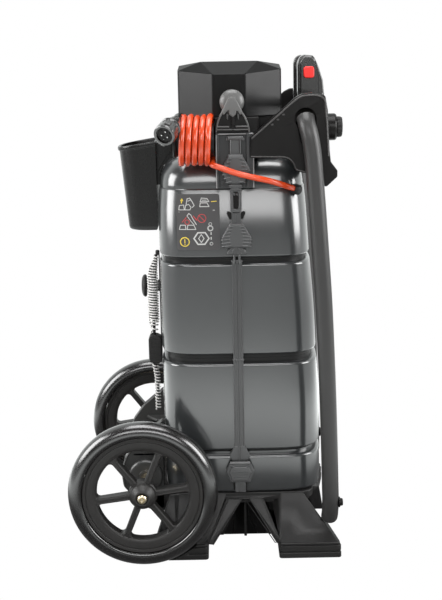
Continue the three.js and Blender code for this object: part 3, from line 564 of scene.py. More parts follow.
def stack(levels, n=96, cap=(True, True)):
    verts, faces = [], []
    for z, d in levels:
        verts += plan(d, z, n)
    for r in range(len(levels) - 1):
        for i in range(n):
            j = (i + 1) % n
            faces.append([r * n + i, r * n + j, (r + 1) * n + j, (r + 1) * n + i])
    if cap[0]: faces.append(list(range(n))[::-1])
    if cap[1]: faces.append([(len(levels) - 1) * n + i for i in range(n)])
    return verts, faces
def rounded(z0, z1, r0, r1, seg=7, base=0.0, mid=6, crown=0.7):
    """Panel profile: (z, inset) with quarter-round lower and upper edges and a slightly crowned wall."""
    out = []
    for j in range(seg + 1):
        t = math.pi / 2 * j / seg
        out.append((z0 + r0 * (1 - math.cos(t)), base + r0 * (1 - math.sin(t))))
    for j in range(1, mid):
        k = j / mid
        out.append((z0 + r0 + (z1 - z0 - r0 - r1) * k, base - crown * math.sin(math.pi * k)))
    for j in range(seg + 1):
        t = math.pi / 2 * j / seg
        out.append((z1 - r1 * (1 - math.sin(t)), base + r1 * (1 - math.cos(t))))
    return out
B = Build()
B.mi = 0
B.add(*stack([(105, 9)] + rounded(105, 171, 6, 5) + [(171.2, 9), (176.4, 9)]))
B.out("base_section_skin", [M_CASE, M_CASE_IN], reps=("base_section",))
for name, z0, z1, nb, ntop in (("lower_battery_case", 182, 333, 176.8, 341), ("upper_battery_case", 349, 503, 341.4, 508)):
    B = Build()
    B.mi = 0
    B.add(*stack([(z0 - 0.2, 9)] + rounded(z0, z1, 3.2, 5) + [(z1 + 0.2, 9)]))
    B.mi = 1
    B.add(*stack([(nb, 9.05), (ntop, 9.05)]))
    B.out(name + "_skin", [M_CASE, M_CASE_IN], reps=(name,))
def crowned(z0, z1, r0, r1, e0, e1, turn=0.35, seg=7, mid=8):
    """As rounded(), with the wall leaning in by e0 towards its foot and by e1 towards its top."""
    out = []
    for j in range(seg + 1):
        t = math.pi / 2 * j / seg
        out.append((z0 + r0 * (1 - math.cos(t)), e0 + r0 * (1 - math.sin(t))))
    for j in range(1, mid):
        k = j / mid
        d = e0 * (1 - k / turn) ** 2 if k < turn else e1 * ((k - turn) / (1 - turn)) ** 2
        out.append((z0 + r0 + (z1 - z0 - r0 - r1) * k, d))
    for j in range(seg + 1):
        t = math.pi / 2 * j / seg
        out.append((z1 - r1 * (1 - math.sin(t)), e1 + r1 * (1 - math.cos(t))))
    return out
# charger case: main panel, ledge, and the domed shoulder above it
B = Build()
B.add(*stack([(512.8, 9)] + crowned(513, 626, 3.2, 4, 0.3, 2.6) + [(626, 9)]))
dome = [(600, 5.0), (626, 4.6), (630, 4.4)]
for j in range(13):
    t = math.pi / 2 * j / 12
    dome.append((630 + 42 * math.sin(t), 4.4 + 34 * (1 - math.cos(t))))
B.mi = 2
B.add(*stack(dome))
B.mi = 1
B.add(*stack([(508.4, 9.05), (520, 9.05)]))
B.out("charger_case_skin", [M_CASE_TOP, M_CASE_IN, M_CASE], reps=("charger_case",))

# ------------------------------------------------------------------ output cable: gland, lead, wound turns, connector
CABLE_D = 9.5
CO = dict(y=-165.0, z=705.0, r=36.25)
CONN_F, CONN_B = Vector((-56, -229, 717)), Vector((-38.4, -181, 738))
def coil_point(turn):
    """Turn 0 is the under side where the lead arrives; each turn goes up the back, over and down the front."""
    k, fr = int(math.floor(turn)), turn - math.floor(turn)
    a = 2 * math.pi * fr                      # 0 under, 0.25 back, 0.5 top, 0.75 front
    if fr < 0.5:
        adv = 3.0 * (fr / 0.5)                # small step up the back
        lean = adv
    else:
        lean = 3.0 + 7.1 * ((fr - 0.5) / 0.5) # larger lean down the front
    x = 15.6 - 10.1 * k - lean + 2.2
    bulge = 1.6 * math.sin(2 * math.pi * (fr - 0.5)) if fr > 0.5 else 0
    wob = 0.7 * math.sin(k * 2.3 + 1) 
    r = CO["r"] + 1.1 * math.sin(k * 1.7 + fr * 3) * 0.6
    if k >= 5:
        x = -32.7 + 1.2 * math.sin(math.pi * fr)
        r += 1.5 * math.sin(math.pi * fr)
    return Vector((x - bulge * 0.7, CO["y"] + r * math.sin(a), CO["z"] - r * math.cos(a) + wob))
lead = [(149.6, -142.8, 621.8), (145.5, -147.2, 624), (139, -154, 627), (126, -164, 632.4), (106, -173.6, 639.6), (82, -178.8, 645.8), (56, -180.6, 652.6), (34, -182.4, 660.6), (22, -181.5, 665.0), (15.5, -175, 667.4)]
pts = list(lead)
N_TURNS = 5.5
steps = int(N_TURNS * 20)
coil = [coil_point(t * N_TURNS / steps) for t in range(1, steps + 1)]
pts += [tuple(p) for p in coil]
pts += [(-36.9, -173.5, 741.0), (-38.4, -181.0, 738.0), (-40.6, -187.0, 735.4), (-42.6, -192.4, 733.0)]
route = catmull(pts, 3)
crv = bpy.data.curves.new("output_cable", "CURVE")
crv.dimensions = "3D"
crv.bevel_depth = CABLE_D / 2 * MM
crv.bevel_resolution = 6
crv.use_fill_caps = True
sp = crv.splines.new("POLY")
sp.points.add(len(route) - 1)
for i, p in enumerate(route):
    sp.points[i].co = (p.x * MM, p.y * MM, p.z * MM, 1)
crv.materials.append(M_ORANGE)
cable = bpy.data.objects.new("output_cable", crv)
scene.collection.objects.link(cable)
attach(cable, "root")
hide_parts("output_cable_coil", "output_cable_lead")

# connector: round shell, recessed socket face with blades, index key, ribbed barrel, tapered boot
B = Build()
axis_dir = (CONN_B - CONN_F).normalized()
L = (CONN_B - CONN_F).length
lathe_at(B, [(0, 5.0), (12.6, 5.0), (12.6, 1.0), (13.2, 0.2), (16.0, 0), (17.0, 0.8), (17.4, 2.2), (17.4, 13), (16.9, 14), (15.4, 14.8), (15.2, 16), (15.2, 24), (15.5, 25), (17.0, 26), (17.2, 28), (16.4, 30), (13.6, 33), (12.6, 38), (11.6, 38.4), (11.4, 39.6), (12.0, 40), (10.9, 44), (10.0, 44.4), (9.8, 45.6), (10.3, 46), (9.2, 50), (8.2, 50.4), (8.0, 51.6), (8.4, 52), (7.2, L), (0, L)], CONN_F, axis_dir, 56)
q = Vector((0, 0, 1)).rotation_difference(axis_dir).to_matrix().to_4x4()
MC = Matrix.Translation(CONN_F) @ q
# ribs round the barrel
T = Build()
for i in range(18):
    a = 2 * math.pi * i / 18
    R = Matrix.Rotation(a, 4, "Z")
    t = Build()
    rbox(t, 14.6, 16.1, -0.9, 0.9, 16.2, 24.2, 0.5, 2)
    T.merge(t, R)
# index key and latch ear
rbox(T, -3.2, 3.2, 15.5, 20.0, 2.0, 13.5, 1.0, 3)
rbox(T, -5.0, 5.0, -19.4, -15.5, 5.0, 13.0, 1.2, 3)
B.merge(T, MC)
# insulating face with socket barrels
T = Build()
T.mi = 1
lathe(T, [(0, 3.6), (11.0, 3.6), (12.0, 4.4), (12.0, 5.4), (0, 5.4)], "Z", (0, 0), 40)
for cx, cy, r in ((-4.8, 2.6, 2.6), (4.8, 2.6, 2.6), (0, -5.2, 2.6), (0, 7.6, 1.5), (-6.6, -5.0, 1.2), (6.6, -5.0, 1.2)):
    t = Build()
    t.mi = 1
    lathe(t, [(r * 0.55, 3.2), (r * 0.55, 2.0), (r * 0.7, 1.6), (r, 1.8), (r, 4.4), (r * 0.55, 4.4)], "Z", (cx, cy), 20, closed=True)
    t.mi = 2
    lathe(t, [(0, 2.6), (r * 0.42, 2.8), (r * 0.46, 4.0), (0, 4.0)], "Z", (cx, cy), 14)
    T.merge(t)
B.merge(T, MC)
# strain-relief sleeve along the last of the cable
tube(B, catmull([tuple(coil_point(t)) for t in (5.36, 5.42, 5.47)] + [(-35.6, -169.5, 742.0), (-36.9, -173.5, 741.0), (-38.2, -180.0, 738.4)], 5), 6.1, 24)
conn = B.out("output_connector_skin", [M_GLOSS, M_MATT, M_STEEL], reps=("output_connector",))

# cable reel: drum and flange with rolled rim and a moulded boss
B = Build()
lathe(B, [(0, -44.5), (7, -45.2), (9, -44.6), (10, -43.6), (21, -43.6), (23.4, -45.0), (26.0, -45.2), (27.4, -43.8), (27.6, -41.6), (26.6, -39.4), (25.2, -38.2), (25.0, -34), (26.0, -32.6), (26.0, 18.8), (25.0, 19.6), (0, 19.6)], "X", (CO["y"], CO["z"]), 56)
T = Build()
for i in range(6):
    a = 2 * math.pi * i / 6 + 0.3
    t = Build()
    rbox(t, -1.1, 1.1, 9.5, 22.0, -44.6, -43.0, 0.5, 2)
    T.merge(t, Matrix(((0, 0, 1, 0), (1, 0, 0, CO["y"]), (0, 1, 0, CO["z"]), (0, 0, 0, 1))) @ Matrix.Rotation(a, 4, "Z"))
B.merge(T)
B.out("cable_reel_skin", M_BLACK, reps=("cable_reel",))

# gland: round collar on the shoulder with a soft mouth
B = Build()
gd = Vector((0.66, 0.7, -0.28)).normalized()
lathe_at(B, [(4.9, 1.2), (5.2, 0.2), (5.9, 0.0), (6.6, 0.6), (7.2, 2.0), (7.4, 3.0), (8.2, 4.4), (8.4, 6.0), (8.4, 14.0), (4.9, 14.0)], (145.2, -147.6, 624.2), gd, 40, closed=True)
B.out("cable_gland_skin", M_MATT, reps=("cable_gland",))

# ------------------------------------------------------------------ label plate on the charger case
B = Build()
def label_patch(B, x0, x1, z0, z1, r, off, th=0.3, nx=22, shear=0.0):
    cols = [x0 + (x1 - x0) * i / nx for i in range(nx + 1)]
    if r > 0:
        cols = sorted(set([round(x0 + r * (1 - math.cos(math.pi / 2 * i / 5)), 4) for i in range(6)] + [round(x1 - r * (1 - math.cos(math.pi / 2 * i / 5)), 4) for i in range(6)] + [c for c in cols if x0 + r < c < x1 - r]))
    front, back, faces, verts = [], [], [], []
    for c in cols:
        d = 0
        if r > 0:
            e = min(c - x0, x1 - c)
            if e < r: d = r - math.sqrt(max(0, r * r - (r - e) ** 2))
        s = shear * (c - x0)
        for zz, lst in ((z0 + d + s, 0), (z1 - d + s, 1)):
            y = near_y(c, zz, -0.9) - off
            verts.append((c, y, zz)); verts.append((c, y + th, zz))
    n = len(cols)
    # per column: 0 front low, 1 back low, 2 front high, 3 back high
    for i in range(n - 1):
        a, b = 4 * i, 4 * (i + 1)
        faces.append([a, b, b + 2, a + 2])
        faces.append([a + 1, a + 3, b + 3, b + 1])
        faces.append([a, a + 1, b + 1, b])
        faces.append([a + 2, b + 2, b + 3, a + 3])
    faces.append([0, 2, 3, 1])
    a = 4 * (n - 1)
    faces.append([a, a + 1, a + 3, a + 2])
    B.add(verts, faces)
label_patch(B, -43.5, 26.5, 526.5, 618, 4, 0.1, 0.5)
# generic pictograms: rings, bars and outlines only
def onface(u, v, off=0.25):
    """Label coordinates: u right from the left edge, v up from the lower edge, in mm."""
    X, Z = -43.5 + u, 526.5 + v
    return Vector((X, near_y(X, Z, -0.9) - off, Z))
def stroke(B, pts, w, mi=1, closed=False):
    B.mi = mi
    P2 = [Vector(p) for p in pts]
    segs = list(zip(P2, P2[1:])) + ([(P2[-1], P2[0])] if closed else [])
    for a, b in segs:
        d = (b - a)
        if d.length < 1e-6: continue
        d.normalize()
        n = Vector((-d.y, d.x)) * (w / 2)
        a2, b2 = a - d * w * 0.35, b + d * w * 0.35
        q4 = [a2 - n, b2 - n, b2 + n, a2 + n]
        v = [tuple(onface(p.x, p.y, 0.34)) for p in q4] + [tuple(onface(p.x, p.y, 0.02)) for p in q4]
        B.add(v, [[0, 1, 2, 3], [7, 6, 5, 4], [0, 4, 5, 1], [1, 5, 6, 2], [2, 6, 7, 3], [3, 7, 4, 0]])
def ring(B, cx, cy, r, w, mi=1, n=20):
    stroke(B, [(cx + r * math.cos(2 * math.pi * i / n), cy + r * math.sin(2 * math.pi * i / n)) for i in range(n)], w, mi, True)
# upper row: a unit being lifted by a handle, and one laid flat
stroke(B, [(4, 66), (5, 73), (12, 74), (13, 66)], 1.2, 1, True)
stroke(B, [(14, 66), (15, 73), (20, 75), (24, 70), (22, 66)], 1.2, 1, True)
stroke(B, [(16, 75), (18, 84), (22, 85), (26, 79), (29, 73), (26, 70)], 1.3)
stroke(B, [(19, 80), (23, 82)], 1.0)
stroke(B, [(8.5, 77), (9.2, 83)], 1.3, 2)
stroke(B, [(7.2, 80.5), (9.3, 84), (11, 80.5)], 1.0, 2)
stroke(B, [(38, 71), (39, 77), (50, 77), (53, 71)], 1.2, 1, True)
stroke(B, [(39, 79), (41, 85), (50, 84), (53, 79)], 1.2, 1, True)
stroke(B, [(42, 81.5), (49, 81.5)], 1.0)
stroke(B, [(57, 79), (65, 79.5)], 1.3, 2)
stroke(B, [(4, 62.5), (62, 65.0)], 0.9)
# middle row: a unit on a slope with a struck-out ring
stroke(B, [(4, 34), (6, 41), (14, 41), (15, 34)], 1.2, 1, True)
stroke(B, [(17, 34), (18, 41), (28, 41), (31, 34)], 1.2, 1, True)
stroke(B, [(17, 56), (20, 60), (23, 58), (27, 50), (32, 42)], 1.3)
stroke(B, [(18, 55), (23, 48), (28, 42)], 1.1)
stroke(B, [(9, 46), (16, 54)], 0.8, 3)
ring(B, 17, 46, 3.6, 0.8, 3)
ring(B, 41, 52, 6.6, 0.9, 3)
stroke(B, [(36.5, 56.5), (45.5, 47.5)], 0.8, 3)
stroke(B, [(27, 56), (33, 49)], 1.2, 3)
# lower row
ring(B, 12.5, 13.5, 7.2, 1.5, 2)
stroke(B, [(12.5, 11.5), (12.5, 17.5)], 1.4, 2)
stroke(B, [(12.5, 8.9), (12.5, 9.4)], 1.4, 2)
stroke(B, [(27.5, 19), (34, 28.5), (46, 28.5), (52, 19), (45, 9.5), (34, 9.5)], 2.2, 1, True)
stroke(B, [(35, 19), (39.5, 25.5), (44, 19), (39.5, 12.5)], 1.3, 1, True)
ring(B, 54.5, 35.5, 3.9, 2.0)
ring(B, 54.5, 42.5, 2.3, 1.0)
stroke(B, [(55.5, 25.5), (55.5, 28.5)], 1.8)
stroke(B, [(55.5, 17.5), (55.5, 20.5)], 1.8)
ring(B, 55.8, 10.2, 2.2, 1.6)
M_ICON_R = node_mat("label_icon_red", (0.55, 0.05, 0.05), 0.45, vary=0.03, bump=0.0)
B.out("label_plate", [M_LABEL, M_ICON, M_ICON_Y, M_ICON_R])

# ------------------------------------------------------------------ dock and power head
B = Build()
Z_D0, Z_D1 = 672.4, 738.8
plate(B, fillet([(-30, -104), (20, -104), (20, -149.6), (92, -149.6), (92, -104), (128, -104), (128, 104), (92, 104), (92, 149.6), (20, 149.6), (20, 104), (-30, 104)], [6, 2, 3, 3, 2, 6, 6, 2, 3, 3, 2, 6], 4), 676.0, Z_D1, "Z", 1.6, 3)
plate(B, rrect(-30, 128, -104, 104, 6), Z_D0, 690, "Z", 1.5, 2)
dock = B.out("head_dock_skin", M_BLACK, reps=("head_dock",))
def head_pts(s):
    return [(0, s * 104, 826), (92, s * 104, 826), (20, s * 142, 806), (70, s * 142, 806), (-36, s * 72, 820), (129, s * 72, 820),
            (20, s * 139, 739.2), (70, s * 139, 739.2), (-38, s * 92, 812), (131, s * 92, 812), (-38, s * 94, 739.2), (131, s * 94, 739.2)]
def head_skin():
    bm = bmesh.new()
    for p in head_pts(-1) + head_pts(1):
        bm.verts.new(p)
    bmesh.ops.convex_hull(bm, input=list(bm.verts))
    bmesh.ops.dissolve_limit(bm, angle_limit=0.10, verts=list(bm.verts), edges=list(bm.edges))
    def upright(e):
        d = (e.verts[0].co - e.verts[1].co).normalized()
        return abs(d.z) > 0.9 and len(e.link_faces) == 2 and e.calc_face_angle(0) > 0.2
    bmesh.ops.bevel(bm, geom=[e for e in bm.edges if upright(e)], offset=4.0, offset_type="OFFSET", segments=5, profile=0.5, affect="EDGES", clamp_overlap=True)
    rest = [e for e in bm.edges if len(e.link_faces) == 2 and e.calc_face_angle(0) > 0.30]
    bmesh.ops.bevel(bm, geom=rest, offset=2.4, offset_type="OFFSET", segments=3, profile=0.5, affect="EDGES", clamp_overlap=True)
    bmesh.ops.recalc_face_normals(bm, faces=list(bm.faces))
    return Build().bm(bm)
head_skin().out("power_head_skin", M_HEAD, reps=("power_head",), smooth=36)

# ------------------------------------------------------------------ stirrup, strap plate, straps
def stirrup():
    B = Build()
    # mushroom disc
    lathe(B, [(0, -169.2), (6, -169.0), (12, -167.6), (17.2, -164.6), (19.4, -161.2), (19.5, -158.4), (18.2, -156.6), (13.4, -155.4), (12.0, -153), (12.0, -147.0), (0, -147.0)], "Y", (49, 763.5), 48)
    # hood: a rounded shield from the disc down to the shoulders
    sh = fillet([(49, 774.5), (40.2, 764.2), (31.6, 747.4), (36.0, 743.6), (43.6, 752.6), (44.4, 744.2), (49.6, 740.2), (54.8, 744.2), (56.0, 752.4), (61.4, 743.2), (66.2, 746.6), (57.6, 763.6)], [5, 8, 1.5, 1.5, 1.5, 1, 1, 1, 1.5, 1.5, 1.5, 8], 4)
    plate(B, sh, -171.6, -163.4, "Y", 1.8, 3)
    # legs of the bail, bending down to the foot bar
    for pp in ([(33.6, -167.5, 747.4), (29.6, -166.2, 740.5), (26.4, -164.0, 732.5), (24.2, -161.5, 724.5), (23.2, -159.6, 716.0)],
               [(64.2, -167.5, 746.8), (68.6, -166.2, 740.2), (72.0, -164.0, 732.5), (74.6, -161.5, 724.5), (75.8, -159.6, 716.0)]):
        tube(B, catmull(pp, 5), lambda t: 1.75 - 0.35 * t, 12)
    # dark recess plate behind, and the two cross bars
    B.mi = 1
    plate(B, fillet([(33, 752), (24.6, 727), (24.4, 716.5), (74.4, 716.5), (74.2, 727), (64.6, 752)], 2, 3), -160.6, -156.4, "Y", 0.8, 2)
    B.mi = 0
    for (xa, xb) in ((24.4, 44.2), (54.2, 74.4)):
        tube(B, [(xa, -162.6, 725.2), ((xa + xb) / 2, -163.1, 725.2), (xb, -162.6, 725.0)], 1.25, 12)
    tube(B, [(23.6, -161.2, 720.6), (49, -161.4, 720.4), (75.4, -161.2, 720.2)], 1.15, 12)
    B.mi = 1
    plate(B, fillet([(22.2, 715.6), (76.2, 715.6), (76.2, 719.0), (22.2, 719.0)], 0.8, 2), -160.5, -156.0, "Y", 0.7, 2)
    # centre prong
    plate(B, fillet([(41.6, 756.0), (46.4, 744.5), (47.4, 736.0), (47.7, 728.0), (52.7, 728.0), (52.9, 736.0), (54.2, 744.5), (59.6, 755.6), (55.2, 750.2), (50.2, 742.6), (45.6, 750.4)], [1, 3, 3, 1, 1, 3, 3, 1, 2, 2, 2], 3), -169.4, -160.0, "Y", 1.2, 3)
    # its lower end steps back, so that it clears the strap plate when the bail swings out
    plate(B, rrect(47.7, 52.7, 717.8, 730.0, 1), -162.4, -160.0, "Y", 0.8, 2)
    B.mi = 0
    # small bright wedges inside the slots
    for s, cx in ((-1, 41.4), (1, 58.4)):
        plate(B, fillet([(cx - 1.5, 745.8), (cx + 1.7, 744.6), (cx + 1.2, 735.0), (cx - 0.8, 738.0)], 0.5, 2), -164.6, -160.0, "Y", 0.6, 2)
    return B
stirrup().pair("stirrup", [M_GREY, M_BLACK], "stirrup", ("stirrup_near", "stirrup_far"))

def strap_plate():
    B = Build()
    plate(B, rrect(22, 76, 627, 714.6, 2), -157.2, -150.4, "Y", 1.0, 2)
    for x0, x1 in ((22, 27.2), (70.4, 76)):
        plate(B, rrect(x0, x1, -163.2, -150.4, 1.5, 4), 627, 714.8, "Z", 1.2, 3)
    rbox(B, 74, 83.0, -160.6, -150.6, 627, 713.6, 1.2, 3, axis="Y")
    # top lip and a shallow frame round the strap mouth, its edges in a light grey: painted highlight along the edges
    rbox(B, 22, 83.0, -161.2, -151, 711.6, 714.9, 1.1, 3, axis="X")
    # the edge tubes below take the light grey: painted highlight
    B.mi = 2
    for pth in ([(22.9, -162.8, 628), (22.9, -162.8, 670), (22.9, -162.8, 713)], [(81.9, -160.4, 628), (81.9, -160.4, 670), (81.9, -160.4, 713)], [(23, -161.2, 713.4), (50, -161.2, 713.4), (82, -161.2, 713.4)]):
        tube(B, pth, 0.95, 10)
    B.mi = 0
    # slots cut in the plate's foot, shown as raised lugs
    for cx in (31.5, 66.5):
        rbox(B, cx - 2.4, cx + 2.4, -158.8, -156, 630, 638, 0.6, 2, axis="Y")
    return B
strap_plate().pair("strap_plate", [M_STRAPPLATE, M_BLACK, M_EDGE_HIGHLIGHT], "strap_plate")

CX = 53
def grip(B, z0, z1, y0, y1, top, mid, bot, zm, ribs, inner=0.42, lift=0.9):
    """Hexagonal pull: a body, stepped ribs on both flanks and a smooth shield in the middle."""
    def half(z):
        if z < zm: return (bot + (mid - bot) * (z - z0) / (zm - z0)) / 2
        return (mid + (top - mid) * (z - zm) / (z1 - zm)) / 2
    outl = fillet([(CX - bot / 2, z0), (CX + bot / 2, z0), (CX + mid / 2, zm), (CX + top / 2, z1), (CX - top / 2, z1), (CX - mid / 2, zm)], [2, 2, 3, 2, 2, 3], 4)
    plate(B, outl, y0 + 1.6, y1, "Y", 1.6, 3)
    # ribs
    n = ribs
    for i in range(n):
        z = z0 + 3.6 + (z1 - z0 - 7.2) * i / (n - 1)
        w = half(z)
        for s in (-1, 1):
            xa, xb = CX + s * w * inner, CX + s * (w + lift)
            x0, x1 = min(xa, xb), max(xa, xb)
            # a bar that sweeps back at the flank
            b = Build()
            tube(b, catmull([(xa, y0 + 1.5, z), ((xa + xb) / 2, y0 + 1.1, z - 0.5), (CX + s * w * 0.93, y0 + 1.9, z - 1.2), (xb, y0 + 4.6, z - 1.8)], 4), 1.25, 10)
            B.merge(b)
    m = mid * inner * 0.62
    sh = fillet([(CX - bot * 0.5 * inner, z0 + 3), (CX + bot * 0.5 * inner, z0 + 3), (CX + m, zm), (CX + top * 0.5 * inner * 1.25, z1 - 2.2), (CX - top * 0.5 * inner * 1.25, z1 - 2.2), (CX - m, zm)], 2, 3)
    plate(B, sh, y0 + 0.4, y0 + 4, "Y", 0.8, 2)
    return B

def upper_strap():
    B = Build()
    # mouth hood and strap between two bright ridges
    rbox(B, CX - 13, CX + 13, -167, -157.5, 704.4, 710.6, 2.2, 4, axis="Y")
    rbox(B, CX - 15.2, CX + 15.2, -164.2, -157.5, 703.0, 707.2, 1.2, 3, axis="Y")
    rbox(B, CX - 6.6, CX + 6.6, -163.4, -157.5, 676, 706, 0.8, 2, axis="Y")
    for s in (-1, 1):
        tube(B, [(CX + s * 7.8, -163.6, 677), (CX + s * 7.8, -163.9, 690), (CX + s * 7.8, -163.6, 705)], 1.25, 10)
    grip(B, 636, 680, -173, -163.6, 22, 45, 26, 659, 7)
    rbox(B, CX - 12, CX + 12, -168.6, -163, 678.2, 681.6, 1.4, 3, axis="Y")
    # neck, end block and T bar
    rbox(B, CX - 6.2, CX + 6.2, -165.4, -157.8, 624, 641, 1.2, 3, axis="Y")
    rbox(B, CX - 11, CX + 11, -166.6, -158, 628.2, 634.0, 1.6, 3, axis="Y")
    # loop over the anchor: two cheeks, a shaded core and two bright bosses
    plate(B, rrect(CX - 9, CX + 9, 588.6, 630, 6, 5), -162.4, -157.6, "Y", 1.3, 3, holes=[rrect(CX - 4.4, CX + 4.4, 594, 622, 3.4, 4)])
    B.mi = 1
    rbox(B, CX - 4.0, CX + 4.0, -160.6, -157.8, 594.4, 621.6, 0.6, 2, axis="Y")
    B.mi = 0
    for s in (-1, 1):
        lathe(B, [(0, -163.2), (1.3, -163.0), (2.0, -162.2), (2.0, -160)], "Y", (CX + s * 2.6, 617.5), 18)
        tube(B, [(CX + s * 5.9, -162.6, 596), (CX + s * 6.4, -163.0, 606), (CX + s * 5.9, -162.6, 618)], 1.0, 10)
    return B
upper_strap().pair("upper_strap", [M_STRAP, M_BLACK], "upper_strap")

def lower_strap():
    B = Build()
    yb = -150.65
    # anchor: two dark ears either side of the strap head
    B.mi = 1
    plate(B, fillet([(CX - 15.4, 587.0), (CX - 11.0, 577.2), (CX - 7.6, 577.2), (CX - 7.6, 588.0), (CX - 13.5, 589.8)], 1.2, 3), -156.6, yb, "Y", 1.0, 3)
    plate(B, fillet([(CX + 15.4, 587.0), (CX + 13.5, 589.8), (CX + 7.6, 588.0), (CX + 7.6, 577.2), (CX + 11.0, 577.2)], 1.2, 3), -156.6, yb, "Y", 1.0, 3)
    B.mi = 0
    rbox(B, CX - 8.2, CX + 8.2, -155.4, yb, 566, 586.6, 1.0, 3, axis="Y")
    rbox(B, CX - 1.4, CX + 1.4, -156.2, yb, 568, 585, 0.7, 2, axis="Y")
    grip(B, 531, 570, -164, yb, 20, 48, 44, 547, 7)
    rbox(B, CX - 9.5, CX + 9.5, -160.2, yb, 566.6, 569.8, 1.3, 3, axis="Y")
    # lower lip, skirt and neck
    tube(B, catmull([(CX - 16.5, -158.2, 529.2), (CX - 12.6, -161.0, 533.6), (CX, -161.8, 533.9), (CX + 12.6, -161.0, 533.6), (CX + 16.5, -158.2, 529.2)], 5), 1.6, 12)
    plate(B, fillet([(CX - 16.2, 519.2), (CX + 16.2, 519.2), (CX + 15, 524.5), (CX + 9.5, 530.8), (CX - 9.5, 530.8), (CX - 15, 524.5)], 2.2, 4), -158.2, yb, "Y", 1.6, 3)
    for s in (-1, 1):
        tube(B, catmull([(CX + s * 2.2, -158.4, 530.0), (CX + s * 5.8, -158.9, 527.5), (CX + s * 7.2, -158.6, 520.2)], 5), 0.9, 10)
    rbox(B, CX - 1.1, CX + 1.1, -159.2, yb, 519.6, 530.4, 0.6, 2, axis="Y")
    # neck through the groove, with two rounded cheeks
    for s in (-1, 1):
        tube(B, catmull([(CX + s * 3.6, -154.0, 521), (CX + s * 4.2, -154.8, 512), (CX + s * 5.2, -153.6, 503)], 5), 2.1, 12)
    # the long run: flat band with two edge ridges and a centre rib
    plate(B, rrect(CX - 8.4, CX + 8.4, 186, 505, 1.5, 3), -153.2, yb, "Y", 0.7, 2)
    for s in (-1, 1):
        tube(B, [(CX + s * 7.4, -153.3, 187.5), (CX + s * 7.4, -153.4, 345), (CX + s * 7.4, -153.3, 503.5)], 1.0, 10)
    for s in (-1, 1):
        rbox(B, CX + s * 1.7 - 0.9, CX + s * 1.7 + 0.9, -155.4, yb, 188, 503.5, 0.7, 2, axis="Y")
    # pulled-out nubs at the two joints between the cases
    for z in (341, 507.5):
        rbox(B, CX - 9.4, CX + 9.4, -154.6, yb, z - 2.2, z + 2.2, 1.2, 3, axis="Y")
    # spread foot above the latch
    plate(B, fillet([(CX - 10, 156), (CX + 10, 156), (CX + 17, 172), (CX + 16, 176), (CX + 8.6, 190), (CX - 8.6, 190), (CX - 16, 176), (CX - 17, 172)], [1.5, 1.5, 2, 2, 3, 3, 2, 2], 3), -154.2, yb, "Y", 1.1, 3)
    for s in (-1, 1):
        rbox(B, CX + s * 1.9 - 1.0, CX + s * 1.9 + 1.0, -155.2, yb, 158, 190, 0.7, 2, axis="Y")
    return B
lower_strap().pair("lower_strap", [M_STRAP, M_BLACK], "lower_strap")

def latch():
    B = Build()
    y0, y1 = -166.0, -156.6
    hexa = [(CX - 17, 128), (CX + 17, 128), (CX + 24, 148), (CX + 17, 164), (CX - 17, 164), (CX - 24, 148)]
    plate(B, fillet(hexa, 2.6, 4), y0 + 3.0, y1, "Y", 1.8, 3)
    ins = [(CX - 13.4, 131), (CX + 13.4, 131), (CX + 19.0, 147), (CX + 13.6, 157.6), (CX + 9.6, 154.8), (CX - 9.6, 154.8), (CX - 13.6, 157.6), (CX - 19.0, 147)]
    plate(B, fillet(ins, 2.2, 4), y0 + 0.6, y0 + 6, "Y", 1.5, 3)
    for i in range(4):
        z = 135 + 4.6 * i
        w = 10.2 + 1.4 * i
        rbox(B, CX - w, CX + w, y0 + 0.0, y0 + 2, z - 0.8, z + 0.8, 0.6, 2, axis="Y")
    tube(B, catmull([(CX - 18.5, y0 + 2.6, 160.5), (CX - 12.6, y0 + 1.6, 157.4), (CX - 10, y0 + 1.6, 155.6), (CX + 10, y0 + 1.6, 155.6), (CX + 12.6, y0 + 1.6, 157.4), (CX + 18.5, y0 + 2.6, 160.5)], 4), 1.1, 10)
    # hinge barrel and the tab below
    lathe(B, [(0, CX - 17), (2.9, CX - 17), (3.4, CX - 16.5), (3.4, CX + 16.5), (2.9, CX + 17), (0, CX + 17)], "X", (-159.8, 161.5), 24)
    B.mi = 1
    rbox(B, CX - 11.4, CX + 11.4, -158.6, -157.0, 112.5, 128.5, 0.6, 2, axis="Y")
    B.mi = 0
    rbox(B, CX - 9.2, CX + 9.2, -162.2, -157.4, 110, 130, 1.4, 3, axis="Y")
    rbox(B, CX - 0.9, CX + 0.9, -162.9, -158, 111.5, 129, 0.6, 2, axis="Y")
    return B
latch().pair("strap_latch", [M_STRAP, M_BLACK], "strap_latch", ("latch_near", "latch_far"))

